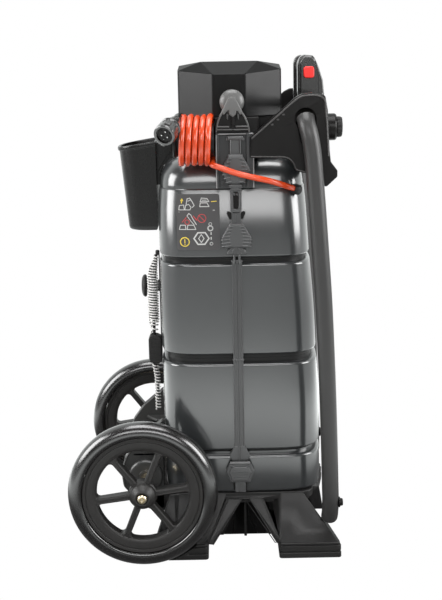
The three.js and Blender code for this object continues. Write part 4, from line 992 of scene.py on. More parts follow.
# ------------------------------------------------------------------ cup holder, hook, curly lead
B = Build()
CUPX0, CUPX1, CUPZ0, CUPZ1, CUPH = -144.0, -79.4, 545.0, 687.0, 58.0
def cup_ring(d, z, n=56):
    k = (CUPZ1 - z) / (CUPZ1 - CUPZ0)
    out, a, b = [], CUPX1 - CUPX0 - 2 * d, CUPH - d
    for i in range(n + 1):
        t = math.pi / 2 + math.pi * i / n
        x = CUPX1 - d + a * math.copysign(abs(math.cos(t)) ** 0.62, math.cos(t)) if abs(math.cos(t)) > 1e-9 else CUPX1 - d
        y = b * math.copysign(abs(math.sin(t)) ** 0.55, math.sin(t))
        # the mouth rises towards the case
        out.append((CUPX1 + (x - CUPX1) * (1 - 0.20 * k), y * (1 - 0.13 * k), z + max(0.0, x - CUPX0) * 0.155 * (1 - k)))
    return out
levels = [(6.0, 545.0), (3.2, 545.3), (1.2, 546.6), (0.3, 549.0), (0, 553), (0, 600), (0, 650), (0, 678.6), (-0.6, 680.0), (-2.0, 680.8), (-2.5, 682.2), (-2.5, 685.4), (-1.8, 686.7), (-0.6, 687.0), (1.4, 687.0), (2.6, 686.4), (3.0, 685.0), (3.0, 640), (3.0, 600), (3.2, 556), (5.0, 551), (9.0, 549.2)]
rings = []
verts, faces = [], []
for d, z in levels:
    rg = cup_ring(d, z)
    if d < 0:
        rg = [(min(x, CUPX1), y, zz) for x, y, zz in rg]
    rings.append(range(len(verts), len(verts) + len(rg)))
    verts += rg
nn = len(rings[0])
for A, C in zip(rings, rings[1:]):
    for i in range(nn):
        j = (i + 1) % nn
        faces.append([A[i], A[j], C[j], C[i]])
faces.append(list(rings[0])[::-1])
faces.append(list(rings[-1]))
B.add(verts, faces)
# hanger: two cheeks and a saddle over the shoulder
def shoulder(off, n=10):
    out = [(-73.6 - off, 622)]
    for j in range(n + 1):
        t = math.pi / 2 * j / n * 0.72
        out.append((-73.2 + 34 * (1 - math.cos(t)) - off * math.cos(t), 628 + 42 * math.sin(t) + off * math.sin(t)))
    return out
low = shoulder(0.8)
prof_h = [(-80.6, 622)] + low + [(-51, max(low[-1][1], 668)), (-51, 692.5), (-53, 694), (-79, 694), (-80.6, 692.4)]
plate(B, prof_h, -40, 40, "Y", 0.8, 2)
for yy in (-41.2, 38.8):
    plate(B, fillet([(-79.6, 640), (-60, 672), (-53, 676), (-53, 691), (-56, 692.6), (-79.6, 692.6)], [1, 8, 3, 2, 2, 1], 4), yy, yy + 2.4, "Y", 0.7, 2)
B.out("cup_holder_skin", M_CUP, reps=("cup_holder",))
B = Build()
lathe(B, [(0, -114.2), (10, -114.0), (14, -113.4), (17.6, -112.0), (19.8, -109.6), (20, -107.4), (18.8, -105.6), (15, -104.6), (10.6, -103.4), (8.4, -101), (8, -97), (8.6, -90), (11.5, -80), (13, -77.6), (0, -77.6)], "X", (0, 439), 48)
B.out("front_hook_skin", M_RIM, reps=("front_hook",))

# curly lead: one wire wound tight above the clip, open at the clip and thinner below it
def ease(t):
    t = min(1.0, max(0.0, t))
    return t * t * (3 - 2 * t)
def lead_x(z):
    return -88 - 3 * ease((z - 288) / 24) + 7 * ease((z - 470) / 35)
def coil_wire(z_hi, z_lo, pitch, rad, step=18):
    out, z, a = [], z_hi, 0.0
    while z > z_lo:
        r = rad(z)
        out.append((lead_x(z) + r * math.cos(a), -60 + r * math.sin(a), z))
        p = pitch(z)
        a += 2 * math.pi / step
        z -= p / step
    return out
def pitch_fn(z):
    if z > 388: return 4.5
    if z > 368: return 4.5 + (388 - z) * 0.36
    return 6.4
def rad_fn(z):
    if z > 462: return 3.0 + 5.5 * (1 - ease((z - 462) / 44))
    if z > 392: return 8.5
    return 8.5 - 2.6 * ease((392 - z) / 16)
B = Build()
tube(B, coil_wire(504, 367, pitch_fn, rad_fn, 24), 1.3, 8)
lo_r = lambda z: 4.6 - 0.6 * (304 - z) / 76
tube(B, coil_wire(312.6, 228, lambda z: 5.4, lo_r), 1.1, 8)
B.mi = 1
tube(B, catmull([(lead_x(z), -60, z) for z in (505, 496, 486, 474)] + [(-91, -60, 462), (-91, -60, 430), (-91, -60, 392)], 6), lambda t: 2.6 + 4.2 * ease((t - 0.05) / 0.45), 20)
tube(B, catmull([(-91, -60, 400), (-91, -60, 385), (-91, -60, 340), (-91, -60, 312), (-88, -60, 288), (-88, -60, 230)], 6), 2.6, 12)
B.out("curly_lead_skin", [M_WIRE, M_MATT], reps=("curly_lead",))
# clip: two-ear holder with a waist, and the inlet block
B = Build()
plate(B, fillet([(-101, 322), (-97.5, 315), (-90, 313.4), (-84, 313.4), (-77.8, 318), (-77.8, 360), (-84, 364), (-93, 366), (-98.6, 363), (-101, 357)], 3, 4), -70.8, -49.2, "Y", 2.2, 4)
T = Build()
lathe(T, [(0, 305), (7.0, 305), (7.0, 380), (0, 380)], "Z", (-91, -60), 32)
clip = B.out("lead_clip_skin", M_MATT, reps=("lead_clip",))
boolean_cut(clip, T)
B = Build()
rbox(B, -84.6, -77.8, -64, -56, 504.6, 512.5, 1.6, 3, rc=3)
rbox(B, -79.4, -77.8, -65, -55, 360, 510, 0.5, 2)
for z in (317.5, 324, 331, 338, 345, 352, 359):
    rbox(B, -99.5, -80, -71.4, -70, z - 0.9, z + 0.9, 0.5, 2)
B.out("lead_inlet_block", M_MATT)

# ------------------------------------------------------------------ side bracket, control panel
def bracket():
    B = Build()
    outl = [(77, 708), (150, 769.5), (160, 774.5), (175, 775.5), (196, 771), (200, 748), (203, 685), (205, 667), (215.5, 653), (215.5, 643), (198, 627), (188, 631), (182, 645), (158, 651), (148, 654), (145, 664), (136, 673.5), (77, 675.5)]
    rad = [1, 8, 6, 6, 5, 10, 10, 5, 3.5, 4, 4, 6, 8, 8, 5, 5, 6, 1]
    plate(B, fillet(outl, rad, 5), -165, -151, "Y", 2.0, 4)
    return B
def bracket_trim():
    B = Build()
    # raised rim along the sloping edge and the rear edge; the whole trim is in a lighter colour than the bracket:
    # painted highlight along its edges
    tube(B, catmull([(79, -165.6, 705.8), (100, -166.0, 723.4), (125, -166.0, 744.6), (147, -166.0, 763.0), (158, -166.0, 769.8), (174, -166.0, 771.6), (188, -165.8, 769.6), (194.6, -165.4, 764), (196.6, -165.4, 748), (199.4, -165.4, 700), (200.8, -165.4, 676)], 6), 1.5, 12)
    tube(B, catmull([(78, -165.4, 677.6), (110, -165.6, 676.8), (134, -165.6, 675.4), (142, -165.6, 671.0), (146.6, -165.6, 664.0), (150.0, -165.6, 656.4), (159, -165.6, 653.2), (170, -165.4, 650.4)], 6), 1.1, 10)
    # small web moulded behind the rim
    for x, z in ((112, 729.5), (121, 737.0), (130, 744.6)):
        rbox(B, x - 2.2, x + 2.2, -166.4, -164, z - 3.4, z - 1.0, 0.7, 2, axis="Y")
    # stub tube that the push handle turns on
    lathe(B, [(0, -152), (8, -152), (8, -1.2), (7.4, -0.4), (0, -0.4)], "Y", (178, 757), 40)
    return B
rail_path = [(164.5, -166, 737), (166, -174.5, 727), (169.5, -179.5, 713), (174, -180, 687), (180.8, -180, 608), (186.5, -180, 528), (192, -180, 446), (196, -180, 362), (199.4, -180, 277), (201.9, -180, 190), (203.3, -180, 130), (204, -179, 98), (203.6, -174, 76), (202.5, -166, 60)]
rail_curve = catmull(rail_path, 8)
CUT = Build()
lathe(CUT, [(0, -172), (17.6, -172), (17.0, -157.5), (0, -157.5)], "Y", (164.8, 735.5), 48)
tube(CUT, [(164.8, -168, 735.5), (168.5, -170, 718), (171, -171.5, 700)], 16.0, 24)
for side in ("near", "far"):
    far = side == "far"
    o = bracket().out("side_bracket_skin_" + side, M_BLACK, "root", ("side_bracket_" + side,), far=far)
    c = Build()
    c.merge(CUT, Matrix.Scale(-1, 4, (0, 1, 0)) if far else None)
    boolean_cut(o, c)
    bracket_trim().out("bracket_rim_" + side, M_BEAD_HIGHLIGHT, "root", far=far)

B = Build()
plate(B, rrect(-150.6, 150.6, 646, 727.5, 6, 4), 175, 201, "X", 2.0, 3)
plate(B, rrect(-108, 108, 690, 734, 8, 4), 175, 201, "X", 2.0, 3)
lathe(B, [(0, 198), (22.5, 198), (22.5, 206), (21.4, 207.2), (21.4, 209.2), (22.4, 210.2), (22.4, 221.8), (21.2, 224.2), (19.8, 225), (0, 225)], "X", (-50, 715), 56)
panel = B.out("control_panel_skin", M_BLACK, reps=("control_panel",))
CUTP = Build()
rbox(CUTP, 196.4, 206, 76, 96, 697.6, 728.4, 0.3, 1)
boolean_cut(panel, CUTP)
# dial marks round the boss (plain strokes) and a plain frame round the lens
B = Build()
for i in range(11):
    a = math.radians(-225 + 27 * i)
    t = Build()
    rbox(t, 25.6, 29.4, -0.6, 0.6, -0.3, 0.3, 0.15, 1)
    B.merge(t, Matrix(((0, 0, 1, 201.1), (1, 0, 0, -50), (0, 1, 0, 715), (0, 0, 0, 1))) @ Matrix.Rotation(a, 4, "Z"))
B.out("dial_marks", M_INK)
B = Build()
plate(B, rrect(4, 66, 690, 734, 5, 4), 200.6, 202.6, "X", 0.8, 2, holes=[rrect(7.4, 62.6, 693.4, 730.6, 4, 4)])
for j, y in enumerate((-110, -96)):
    pass
B.out("lens_frame", M_BLACK)
# knob
B = Build()
prof = [(0, 235.0), (11.5, 235.0), (14.8, 234.6), (16.6, 233.4), (17.3, 231.5), (17.5, 227), (17.2, 225.7), (0, 225.5)]
n = 96
vv, ff, rr = [], [], []
for r, a in prof:
    if r < 1e-6:
        rr.append([len(vv)]); vv.append((a, -50, 715)); continue
    s = len(vv)
    for i in range(n):
        t = 2 * math.pi * i / n
        flute = 0.0
        if r > 14.5:
            flute = 1.5 * max(0.0, math.cos(8 * t)) ** 3
        vv.append((a, -50 + (r - flute) * math.cos(t), 715 + (r - flute) * math.sin(t)))
    rr.append(list(range(s, s + n)))
for A, C in zip(rr, rr[1:]):
    for i in range(n):
        j = (i + 1) % n
        if len(A) == 1: ff.append([A[0], C[i], C[j]])
        elif len(C) == 1: ff.append([A[j], A[i], C[0]])
        else: ff.append([A[j], A[i], C[i], C[j]])
B.add(vv, ff)
B.mi = 1
rbox(B, 234.6, 235.4, -51.0, -49.0, 719, 731, 0.3, 1)
B.out("rotary_knob_skin", [M_MATT, M_INK], "knob", ("rotary_knob",))
B = Build()
plate(B, rrect(8, 62, 694, 730, 4, 4), 201.4, 203.6, "X", 0.8, 3)
B.out("display_lens_skin", M_LENS, reps=("display_lens",))
B = Build()
# rocker with a raised bar across its face near each end
T = Build()
plate(T, rrect(78, 94, 700, 726, 2, 3), 198.5, 206.2, "X", 1.0, 3)
B.merge(T)
for z, w in ((705, 1), (721, 1)):
    rbox(B, 204.5, 207.2, 80.5, 91.5, z - 1.0, z + 1.0, 0.6, 2)
B.out("rocker_switch_skin", M_RED, "rocker", ("rocker_switch",))

# ------------------------------------------------------------------ push handle and buttons
B = Build()
arm = [(160, 779), (160, 823), (164.5, 831), (170, 834.5), (185, 833), (189, 828), (194.5, 816), (202, 793), (204.5, 768), (197, 748), (186, 739.5), (172, 738), (161, 745)]
for s in (-1, 1):
    T = Build()
    # core of the arm, then an outer cover set in from the front edge so that a seam shows
    plate(T, fillet(arm, [3, 9, 4, 7, 5, 4, 12, 14, 12, 14, 12, 12, 10], 6), -58.6, -42, "Y", 1.8, 4)
    cov = [(164.6, 770), (164.6, 824.0), (168.0, 829.8), (172.6, 832.6), (184.4, 831.2), (188.0, 826.0), (193.0, 813.6), (199.8, 792), (202.2, 769), (195.6, 750), (185.4, 741.5), (173, 740), (165, 747)]
    plate(T, fillet(cov, [2, 6, 3, 5, 5, 4, 12, 14, 12, 14, 12, 12, 8], 6), -63, -57, "Y", 2.2, 4)
    # rear bevel strip, and the two upright ribs of the front edge
    st = [(194.4, 771), (194.0, 797), (188.4, 823.6), (190.2, 824.6), (200.0, 793.5), (202.0, 772)]
    plate(T, fillet(st, 0.9, 3), -63.7, -61, "Y", 0.7, 3)
    tube(T, catmull([(161.4, -59.2, 772), (161.4, -59.6, 800), (161.8, -59.2, 824), (164.0, -58.6, 829.4)], 6), 0.8, 10)
    tube(T, catmull([(163.6, -60.6, 772), (163.6, -61.0, 800), (163.8, -60.6, 822)], 6), 0.6, 10)
    for z in (782, 787, 792):
        rbox(T, 161.8, 164.4, -61.4, -58.6, z - 1.0, z + 1.0, 0.5, 2, axis="Y")
    B.merge(T, None if s < 0 else Matrix.Scale(-1, 4, (0, 1, 0)))
lathe(B, [(12.5, -50), (12.5, -40), (13.3, -38.8), (13.5, -30), (13.8, 0), (13.5, 30), (13.3, 38.8), (12.5, 40), (12.5, 50)], "Y", (177, 815), 56)
for i in range(-5, 6):
    yy = i * 6.6
    lathe(B, [(12.9, yy - 1.5), (14.3, yy - 0.8), (14.3, yy + 0.8), (12.9, yy + 1.5)], "Y", (177, 815), 48, closed=True)
B.out("push_handle_skin", M_GLOSS, "handle", ("push_handle",))
B = Build()
plate(B, rrect(178.2 - 8.9, 178.2 + 8.9, 805.9 - 9.4, 805.9 + 9.4, 4.6, 6), -66.8, -62.6, "Y", 1.7, 4)
a, b = B.pair("release_button", [M_RED], "release_button", ("button_near", "button_far"))

# ------------------------------------------------------------------ rails and bolts
B = Build()
# the lower end closes in a round nose
nose = [rail_curve[-1]]
rc = rail_curve[:-1]
d_end = (Vector(rail_curve[-1]) - Vector(rail_curve[-2])).normalized()
end = Vector(rail_curve[-1]) - d_end * 9.0
rc = [q for q in rail_curve if (Vector(q) - end).dot(d_end) < -2.0] + [tuple(end + d_end * 9.0 * math.sin(math.pi / 2 * j / 8)) for j in range(9)]
seg_len = [0.0]
for a_, b_ in zip(rc, rc[1:]):
    seg_len.append(seg_len[-1] + (Vector(b_) - Vector(a_)).length)
n_rc = len(rc)
def rail_r(t):
    k = int(round(t * (n_rc - 1)))
    j = k - (n_rc - 9)
    return 14.0 if j <= 0 else max(0.6, 14.0 * math.cos(math.pi / 2 * j / 8.2))
tube(B, rc, rail_r, 40)
B.pair("side_rail", M_RAIL, "side_rail")
B = Build()
lathe(B, [(0, 217.6), (8.6, 217.6), (9.0, 218.2), (9.0, 219.4), (8.2, 220.0), (6.6, 220.2), (6.2, 223.6), (5.2, 224.6), (2.6, 224.6), (2.4, 222.6), (0, 222.6)], "X", (-180, 97), 36)
B.pair("rail_bolt", M_BLACK, "rail_bolt")

# ------------------------------------------------------------------ plinth and feet
B = Build()
PAD = 22.3
def legpair(name_pts, r=2.2):
    hull_bevel(B, name_pts, r, 3, 0.03)
    hull_bevel(B, [(x, -y, z) for x, y, z in name_pts], r, 3, 0.03)
def prism(x0, x1, y0, y1, z0, X0, X1, Y0, Y1, z1):
    return [(x0, y0, z0), (x1, y0, z0), (x1, y1, z0), (x0, y1, z0), (X0, Y0, z1), (X1, Y0, z1), (X1, Y1, z1), (X0, Y1, z1)]
# rear legs: a front facet and a flank that turns in towards the middle
legpair([(119, -187, PAD), (221, -187, PAD), (195, -66, PAD), (119, -66, PAD), (122.5, -150, 103.5), (160, -150, 103.5), (138, -60, 103.5), (90, -60, 103.5), (91, -116, 103.5)], 2.0)
legpair([(-60, -187, PAD), (-5, -187, PAD), (-5, -66, PAD), (-60, -66, PAD), (-62, -150, 103.5), (30, -150, 103.5), (30, -60, 103.5), (-62, -60, 103.5)], 1.8)
legpair([(-95, -187, PAD), (-55, -187, PAD), (-55, -141, PAD), (-95, -141, PAD), (-68, -150, 103.5), (-50, -150, 103.5), (-50, -141, 103.5), (-68, -141, 103.5)], 1.8)
legpair([(-75, -150, 62), (-50, -150, 62), (-50, -116, 62), (-75, -116, 62), (-68, -150, 103.5), (-50, -150, 103.5), (-50, -116, 103.5), (-68, -116, 103.5)], 1.6)
# dark webs that close the corner between each rear leg and the deck, inside the rails
legpair([(-107, -112, 66), (-48, -112, 60), (-48, -112, 98), (-107, -112, 98), (-107, -98, 66), (-48, -98, 60), (-48, -98, 98), (-107, -98, 98)], 1.4)
legpair([(150, -122, 60), (197, -122, 60), (190, -122, 103.0), (150, -122, 103.0), (150, -98, 60), (197, -98, 60), (190, -98, 103.0), (150, -98, 103.0)], 1.4)
# flanges at the foot of each leg
for x0, x1 in ((-62, -3.5), (117.4, 222.6)):
    for s_ in (-1, 1):
        y0, y1 = (-188.4, -80) if s_ < 0 else (80, 188.4)
        if x0 < 0:
            rbox(B, x0, x1, y0, y1, PAD + 0.2, PAD + 5.2, 1.4, 3, rc=5)
        else:
            o = [(x0, 188.4 * s_), (221.0, 188.4 * s_), (217.5, 166 * s_), (203, 80 * s_), (x0, 80 * s_)]
            plate(B, fillet(o if s_ > 0 else o[::-1], [4, 4, 12, 6, 4], 3), PAD + 0.2, PAD + 5.2, "Z", 1.4, 3)
plate(B, rrect(-68, 178, -150, 150, 22, 6), 92.0, 104.8, "Z", 1.4, 3)
plate(B, rrect(-60, 172, -144, 144, 18, 6), 84.0, 97.0, "Z", 1.2, 3)
# inner core walls
rbox(B, -38, 172, -112, 112, 11.0, 90, 2.0, 3, rc=6)
rbox(B, -58, -30, -80, 80, 61, 90, 2.0, 3, rc=4)
for s in (-1, 1):
    def m(p): return [(x, y * -s, z) for x, y, z in p]
    # wide gussets from the foot of each leg up to the strap line
    for tri in ([(31, -149, 95), (57, -147, 94), (-4, -186, 27), (5, -184, 25)], [(91, -149, 95), (67, -147, 94), (120, -186, 29), (114, -184, 26)]):
        inner = [(x, y + 5, z + 1.5) for x, y, z in tri]
        hull_bevel(B, m(tri + inner), 0.9, 2, 0.02)
    # raised lines along the gussets' edges
    for a3, b3 in (((33, -150.4, 94), (-2.5, -186.6, 29)), ((30, -150.4, 94.5), (-5.0, -187.2, 29)), ((56, -148.6, 93.4), (5.0, -185.4, 26.0)), ((32, -150.6, 93.6), (56, -148.8, 93.2)),
                   ((89, -150.4, 94), (119.0, -186.8, 30)), ((68, -148.4, 93.4), (113.5, -185.4, 27)), ((64, -146.6, 86), (110.5, -184.4, 27)), ((68, -148.6, 93.2), (90, -150.6, 93.6))):
        t = Build()
        tube(t, m([a3, tuple((Vector(a3) + Vector(b3)) / 2), b3]), 0.8, 8)
        B.merge(t)
    # ribs under the deck, and the middle post
    for p in ([(16, -116, 12), (23, -116, 12), (52, -116, 90), (57, -116, 90), (16, -110, 12), (23, -110, 12), (52, -110, 90), (57, -110, 90)],
              [(102, -116, 12), (109, -116, 12), (66, -116, 90), (71, -116, 90), (102, -110, 12), (109, -110, 12), (66, -110, 90), (71, -110, 90)]):
        hull_bevel(B, m(p), 1.0, 2, 0.02)
    rbox(B, 61.5 - 2.4, 61.5 + 2.4, *((-116, -108) if s > 0 else (108, 116)), 9.6, 92, 0.9, 2)
    hull_bevel(B, m([(59.8, -146, 96), (63.2, -146, 96), (59.8, -146, 90), (63.2, -146, 90), (59.8, -84, 96), (63.2, -84, 96), (59.8, -84, 40), (63.2, -84, 40)]), 0.8, 2, 0.02)
well = Build()
for s in (-1, 1):
    lathe(well, [(0, s * 172), (131, s * 172), (131, s * 232), (0, s * 232)], "Y", (-110, 125), 72)
    T = Build()
    tube(T, catmull(rail_path, 4), 15.2, 24)
    well.merge(T, None if s < 0 else Matrix.Scale(-1, 4, (0, 1, 0)))
pl = B.out("plinth_skin", M_PLINTH, reps=("plinth",))
me = pl.data
boolean_cut(pl, well)
def pad(x0, x1, front=False):
    B = Build()
    if front:
        plate(B, rrect(-94, -34, -188.4, -141, 6, 5), 0, 21.8, "Z", 1.2, 3)
    def outline(g):
        if x0 < 0:
            return rrect(x0 + g, x1 - g, -188.5 + g, -82 - g, 6, 5)
        # the rear pad's inner corner is cut back at a slant
        return fillet([(x0 + g, -188.5 + g), (x1 - g, -188.5 + g), (x1 - 3 - g, -166), (x1 - 18 - g, -82 - g), (x0 + g, -82 - g)], [5, 5, 12, 6, 5], 4)
    plate(B, outline(0), 0, 9.6, "Z", 1.2, 3)
    plate(B, outline(2), 8.8, 12.6, "Z", 0.2, 1)
    plate(B, outline(0.4), 11.8, 22, "Z", 1.3, 3)
    return B
WELL1 = Build()
lathe(WELL1, [(0, -240), (131, -240), (131, -172), (0, -172)], "Y", (-110, 125), 96)
for side in ("near", "far"):
    far = side == "far"
    o = pad(-61, -3, True).out("foot_pad_front_skin_" + side, M_PAD, "root", ("foot_pad_front_" + side,), far=far)
    c = Build(); c.merge(WELL1, Matrix.Scale(-1, 4, (0, 1, 0)) if far else None)
    boolean_cut(o, c)
    pad(117, 223).out("foot_pad_rear_skin_" + side, M_PAD, "root", ("foot_pad_rear_" + side,), far=far)

# ------------------------------------------------------------------ wheels
def wheel():
    """Outline of the flange disc and its six filleted openings between the spokes, about the origin; the disc lies
    across y.
    """
    B = Build()
    # flange disc: outline with six openings
    n_out = 128
    outer = [(101 * math.cos(2 * math.pi * i / n_out), 101 * math.sin(2 * math.pi * i / n_out)) for i in range(n_out)]
    holes = []
    for k in range(6):
        a0, a1 = 8 + 60 * k, 8 + 60 * (k + 1)
        w_hub, w_rim = 5.4, 5.0
        # corners of one opening between spoke k and spoke k+1
        def at(r, ang): return (r * math.cos(math.radians(ang)), r * math.sin(math.radians(ang)))
        def off(r, ang, side, w):
            u = Vector((math.cos(math.radians(ang)), math.sin(math.radians(ang))))
            v = Vector((-u.y, u.x))
            p = u * r + v * (side * w)
            return (p.x, p.y)
        R_in, R_out = 23.0, 78.0
        da = math.degrees(math.asin(w_rim / R_out))
        pts_ = [off(R_in, a0, 1, w_hub)]
        pts_ += [at(R_out, a0 + da + (60 - 2 * da) * j / 14) for j in range(15)]
        pts_ += [off(R_in, a1, -1, w_hub)]
        pts_ += [at(R_in, a0 + 30)]
        rr_ = [3.0] + [11.0] + [0] * 13 + [11.0] + [3.0] + [0]
        # the corner fillets need room: keep the arc's ends apart
        arc_pts = [at(R_out, a0 + da + (60 - 2 * da) * t) for t in (0, 0.22, 0.36, 0.5, 0.64, 0.78, 1)]
        pts_ = [off(R_in, a0, 1, w_hub)] + arc_pts + [off(R_in, a1, -1, w_hub), at(R_in, a0 + 30)]
        rr_ = [2.5, 11.5, 0, 30, 30, 30, 0, 11.5, 2.5, 0]
        holes.append(fillet(pts_, rr_, 6))
    return outer, holes
def make_wheel(far):
    B = Build()
    outer, holes = wheel()
    # ring + spokes are one plate; the spokes are thinner than the rim
    T = Build()
    plate(T, outer, -9.2, 9.2, "Y", 2.0, 4, holes=holes)
    B.merge(T)
    # rim barrel: stepped flange, dished inside, with a thin groove next to the tyre
    lathe(B, [(77.6, -7.5), (78.6, -9.2), (81.0, -10.6), (85.0, -11.6), (93.6, -12.2), (94.3, -11.4), (95.2, -11.4), (96.0, -12.6), (99.6, -13.2), (100.9, -12.4), (101, -10), (101, 10), (100.9, 12.4), (99.6, 13.2), (96.0, 12.6), (95.2, 11.4), (94.3, 11.4), (93.6, 12.2), (85.0, 11.6), (81.0, 10.6), (78.6, 9.2), (77.6, 7.5)], "Y", (0, 0), 128, closed=True)
    # spoke ribs: a raised spine on each face
    for k in range(6):
        a = math.radians(8 + 60 * k)
        for s in (-1, 1):
            p = Build()
            for w_ in (-2.9, 2.9):
                tube(p, catmull([(22, s * 9.0, w_), (44, s * 9.0, w_ * 0.92), (64, s * 9.0, w_ * 0.95), (76, s * 9.0, w_ * 1.3), (81, s * 9.2, w_ * 1.9)], 5), 1.0, 8)
            B.merge(p, Matrix.Rotation(-a, 4, "Y"))
    # hub
    lathe(B, [(8.4, -15), (19, -15), (21.0, -14.4), (22, -13), (22.4, -9), (24, -7.2), (24, 7.2), (22.4, 9), (22, 13), (21, 14.4), (19, 15), (8.4, 15)], "Y", (0, 0), 64, closed=True)
    M = Matrix.Translation((-110, -195, 125))
    C = Build()
    C.merge(B, M)
    return C
def make_tyre():
    B = Build()
    prof = [(101.4, -15.0)]
    # fat rounded tyre section
    import itertools
    sec = [(103.0, -16.6), (106, -17.7), (109.5, -18.0), (113.5, -17.4), (117.5, -15.4), (120.8, -12.4), (123.2, -8.6), (124.6, -4.4), (125.0, 0)]
    prof += sec + [(r, -y) for r, y in sec[:-1][::-1]] + [(101.4, 15.0)]
    P2 = catmull([(r, y, 0) for r, y in prof], 3)
    lathe(B, [(min(125.0, p.x), max(-18.0, min(18.0, p.y))) for p in P2], "Y", (0, 0), 128, closed=True)
    C = Build()
    C.merge(B, Matrix.Translation((-110, -195, 125)))
    return C
def make_cap():
    B = Build()
    yc = -195 - 15.35
    lathe(B, [(8.4, yc), (20.6, yc), (21, yc - 0.6), (20.6, yc - 1.6), (15.2, yc - 7.6), (13.4, yc - 9.6), (11.8, yc - 10.5), (10.0, yc - 10.2), (9.2, yc - 8.6), (8.4, yc - 8.4)], "Y", (-110, 125), 64, closed=True)
    for i in range(3):
        rr0 = 19.2 - 2.5 * i
    return B
for side in ("near", "far"):
    far = side == "far"
    bd = "wheel_" + side
    make_wheel(far).out("wheel_skin_" + side, M_RIM, bd, ("wheel_" + side,), far=far)
    make_tyre().out("tyre_skin_" + side, M_TYRE, bd, ("tyre_" + side,), far=far, smooth=60)
    make_cap().out("hub_cap_skin_" + side, M_RIM, bd, ("hub_cap_" + side,), far=far)
B = Build()
lathe(B, [(0, -224.4), (2.4, -224.4), (3.2, -223.2), (3.6, -223.4), (4.4, -224.8), (6.6, -224.6), (7.7, -223.4), (8.0, -221.4), (8.0, 221.4), (7.7, 223.4), (6.6, 224.6), (4.4, 224.8), (3.6, 223.4), (3.2, 223.2), (2.4, 224.4), (0, 224.4)], "Y", (-110, 125), 48)
B.out("axle_skin", M_BRASS, reps=("axle",))
def axle_bracket():
    B = Build()
    armp = [(-77.8, 226), (-96, 211), (-124, 188), (-146, 158), (-153, 130), (-150, 104), (-134, 86), (-114, 66), (-100, 59), (-77.8, 58)]
    plate(B, fillet(armp, [2, 14, 20, 20, 16, 14, 12, 12, 8, 2], 6), -112, -96, "Y", 2.2, 4)
    lathe(B, [(8.4, -123.4), (12, -123.4), (12.6, -122.2), (24, -122.2), (27.4, -121.4), (29.6, -119.0), (30, -116), (30, -86), (8.4, -86)], "Y", (-110, 125), 56, closed=True)
    # turned-up rims that catch the light along the arm's edge
    tube(B, catmull([(-80, -112.4, 222), (-96, -112.4, 208.4), (-122, -112.4, 186), (-142.6, -112.4, 157), (-149.6, -112.4, 130), (-146.8, -112.4, 106)], 6), 1.6, 12)
    hull_bevel(B, [(-77.8, -112, 160), (-132, -112, 160), (-77.8, -70, 160), (-100, -70, 160), (-77.8, -112, 166), (-132, -112, 166), (-77.8, -70, 166), (-100, -70, 166)], 1.6, 3, 0.02)
    return B
axle_bracket().pair("axle_bracket", M_BRACKET, "axle_bracket")

# ------------------------------------------------------------------ carried-over CAD nodes get their own finishes
CARRIED = {"lower_battery": M_BATT, "upper_battery": M_BATT, "bus_bar": M_COPPER, "transformer": M_ALU, "charger_circuit_board": M_BOARD,
           "head_circuit_board": M_BOARD, "fan_frame": M_MATT, "cooling_fan": M_MATT}
for name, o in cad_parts.items():
    if o.hide_render:
        continue
    m = CARRIED.get(name, M_BLACK)
    o.data.materials.clear()
    o.data.materials.append(m)
    if name not in CARRIED:
        print("NOT REPLACED:", name)

# ------------------------------------------------------------------ floor, light and world
def stage_disc(name, r, z, mat):
    me = bpy.data.meshes.new(name)
    bm = bmesh.new()
    bmesh.ops.create_circle(bm, cap_ends=True, radius=r, segments=96)
    bm.to_mesh(me); bm.free()
    me.materials.append(mat)
    o = bpy.data.objects.new(name, me)
    o.location = (0, 0, z)
    scene.collection.objects.link(o)
    return o
M_FLOOR = bpy.data.materials.new("studio_floor")
M_FLOOR.use_nodes = True
nt = M_FLOOR.node_tree
nt.nodes.clear()
o_ = nt.nodes.new("ShaderNodeOutputMaterial")
df = nt.nodes.new("ShaderNodeBsdfDiffuse")
em = nt.nodes.new("ShaderNodeEmission")
lp = nt.nodes.new("ShaderNodeLightPath")
mx = nt.nodes.new("ShaderNodeMixShader")
df.inputs["Color"].default_value = (0.55, 0.55, 0.55, 1)
em.inputs["Color"].default_value = (1, 1, 1, 1)
em.inputs["Strength"].default_value = 1.0
nt.links.new(lp.outputs["Is Camera Ray"], mx.inputs["Fac"])
# in reflections the floor is a pool of light that starts a little way out from the object
gm = nt.nodes.new("ShaderNodeNewGeometry")
ln = nt.nodes.new("ShaderNodeVectorMath")
ln.operation = "LENGTH"
nt.links.new(gm.outputs["Position"], ln.inputs[0])
r1 = nt.nodes.new("ShaderNodeValToRGB")
mp = nt.nodes.new("ShaderNodeMapRange")
mp.inputs["From Min"].default_value = 0.0
mp.inputs["From Max"].default_value = 3.0
nt.links.new(ln.outputs["Value"], mp.inputs["Value"])
nt.links.new(mp.outputs["Result"], r1.inputs["Fac"])
e = r1.color_ramp.elements
e[0].position, e[0].color = 0.17, (0.06, 0.06, 0.06, 1)
e[1].position, e[1].color = 1.0, (0.27, 0.27, 0.27, 1)
for pos, v in ((0.24, 0.70), (0.31, 0.88), (0.40, 0.70), (0.48, 0.40), (0.63, 0.30)):
    n_ = e.new(pos)
    n_.color = (v * 0.97, v, v * 0.99, 1)
eg = nt.nodes.new("ShaderNodeEmission")
eg.inputs["Strength"].default_value = 2.4
nt.links.new(r1.outputs["Color"], eg.inputs["Color"])
mg = nt.nodes.new("ShaderNodeMixShader")
nt.links.new(lp.outputs["Is Glossy Ray"], mg.inputs["Fac"])
nt.links.new(df.outputs[0], mg.inputs[1])
nt.links.new(eg.outputs[0], mg.inputs[2])
nt.links.new(mg.outputs[0], mx.inputs[1])
nt.links.new(em.outputs[0], mx.inputs[2])
nt.links.new(mx.outputs[0], o_.inputs["Surface"])
stage_disc("studio_floor", 3.0, -0.0015, M_FLOOR)

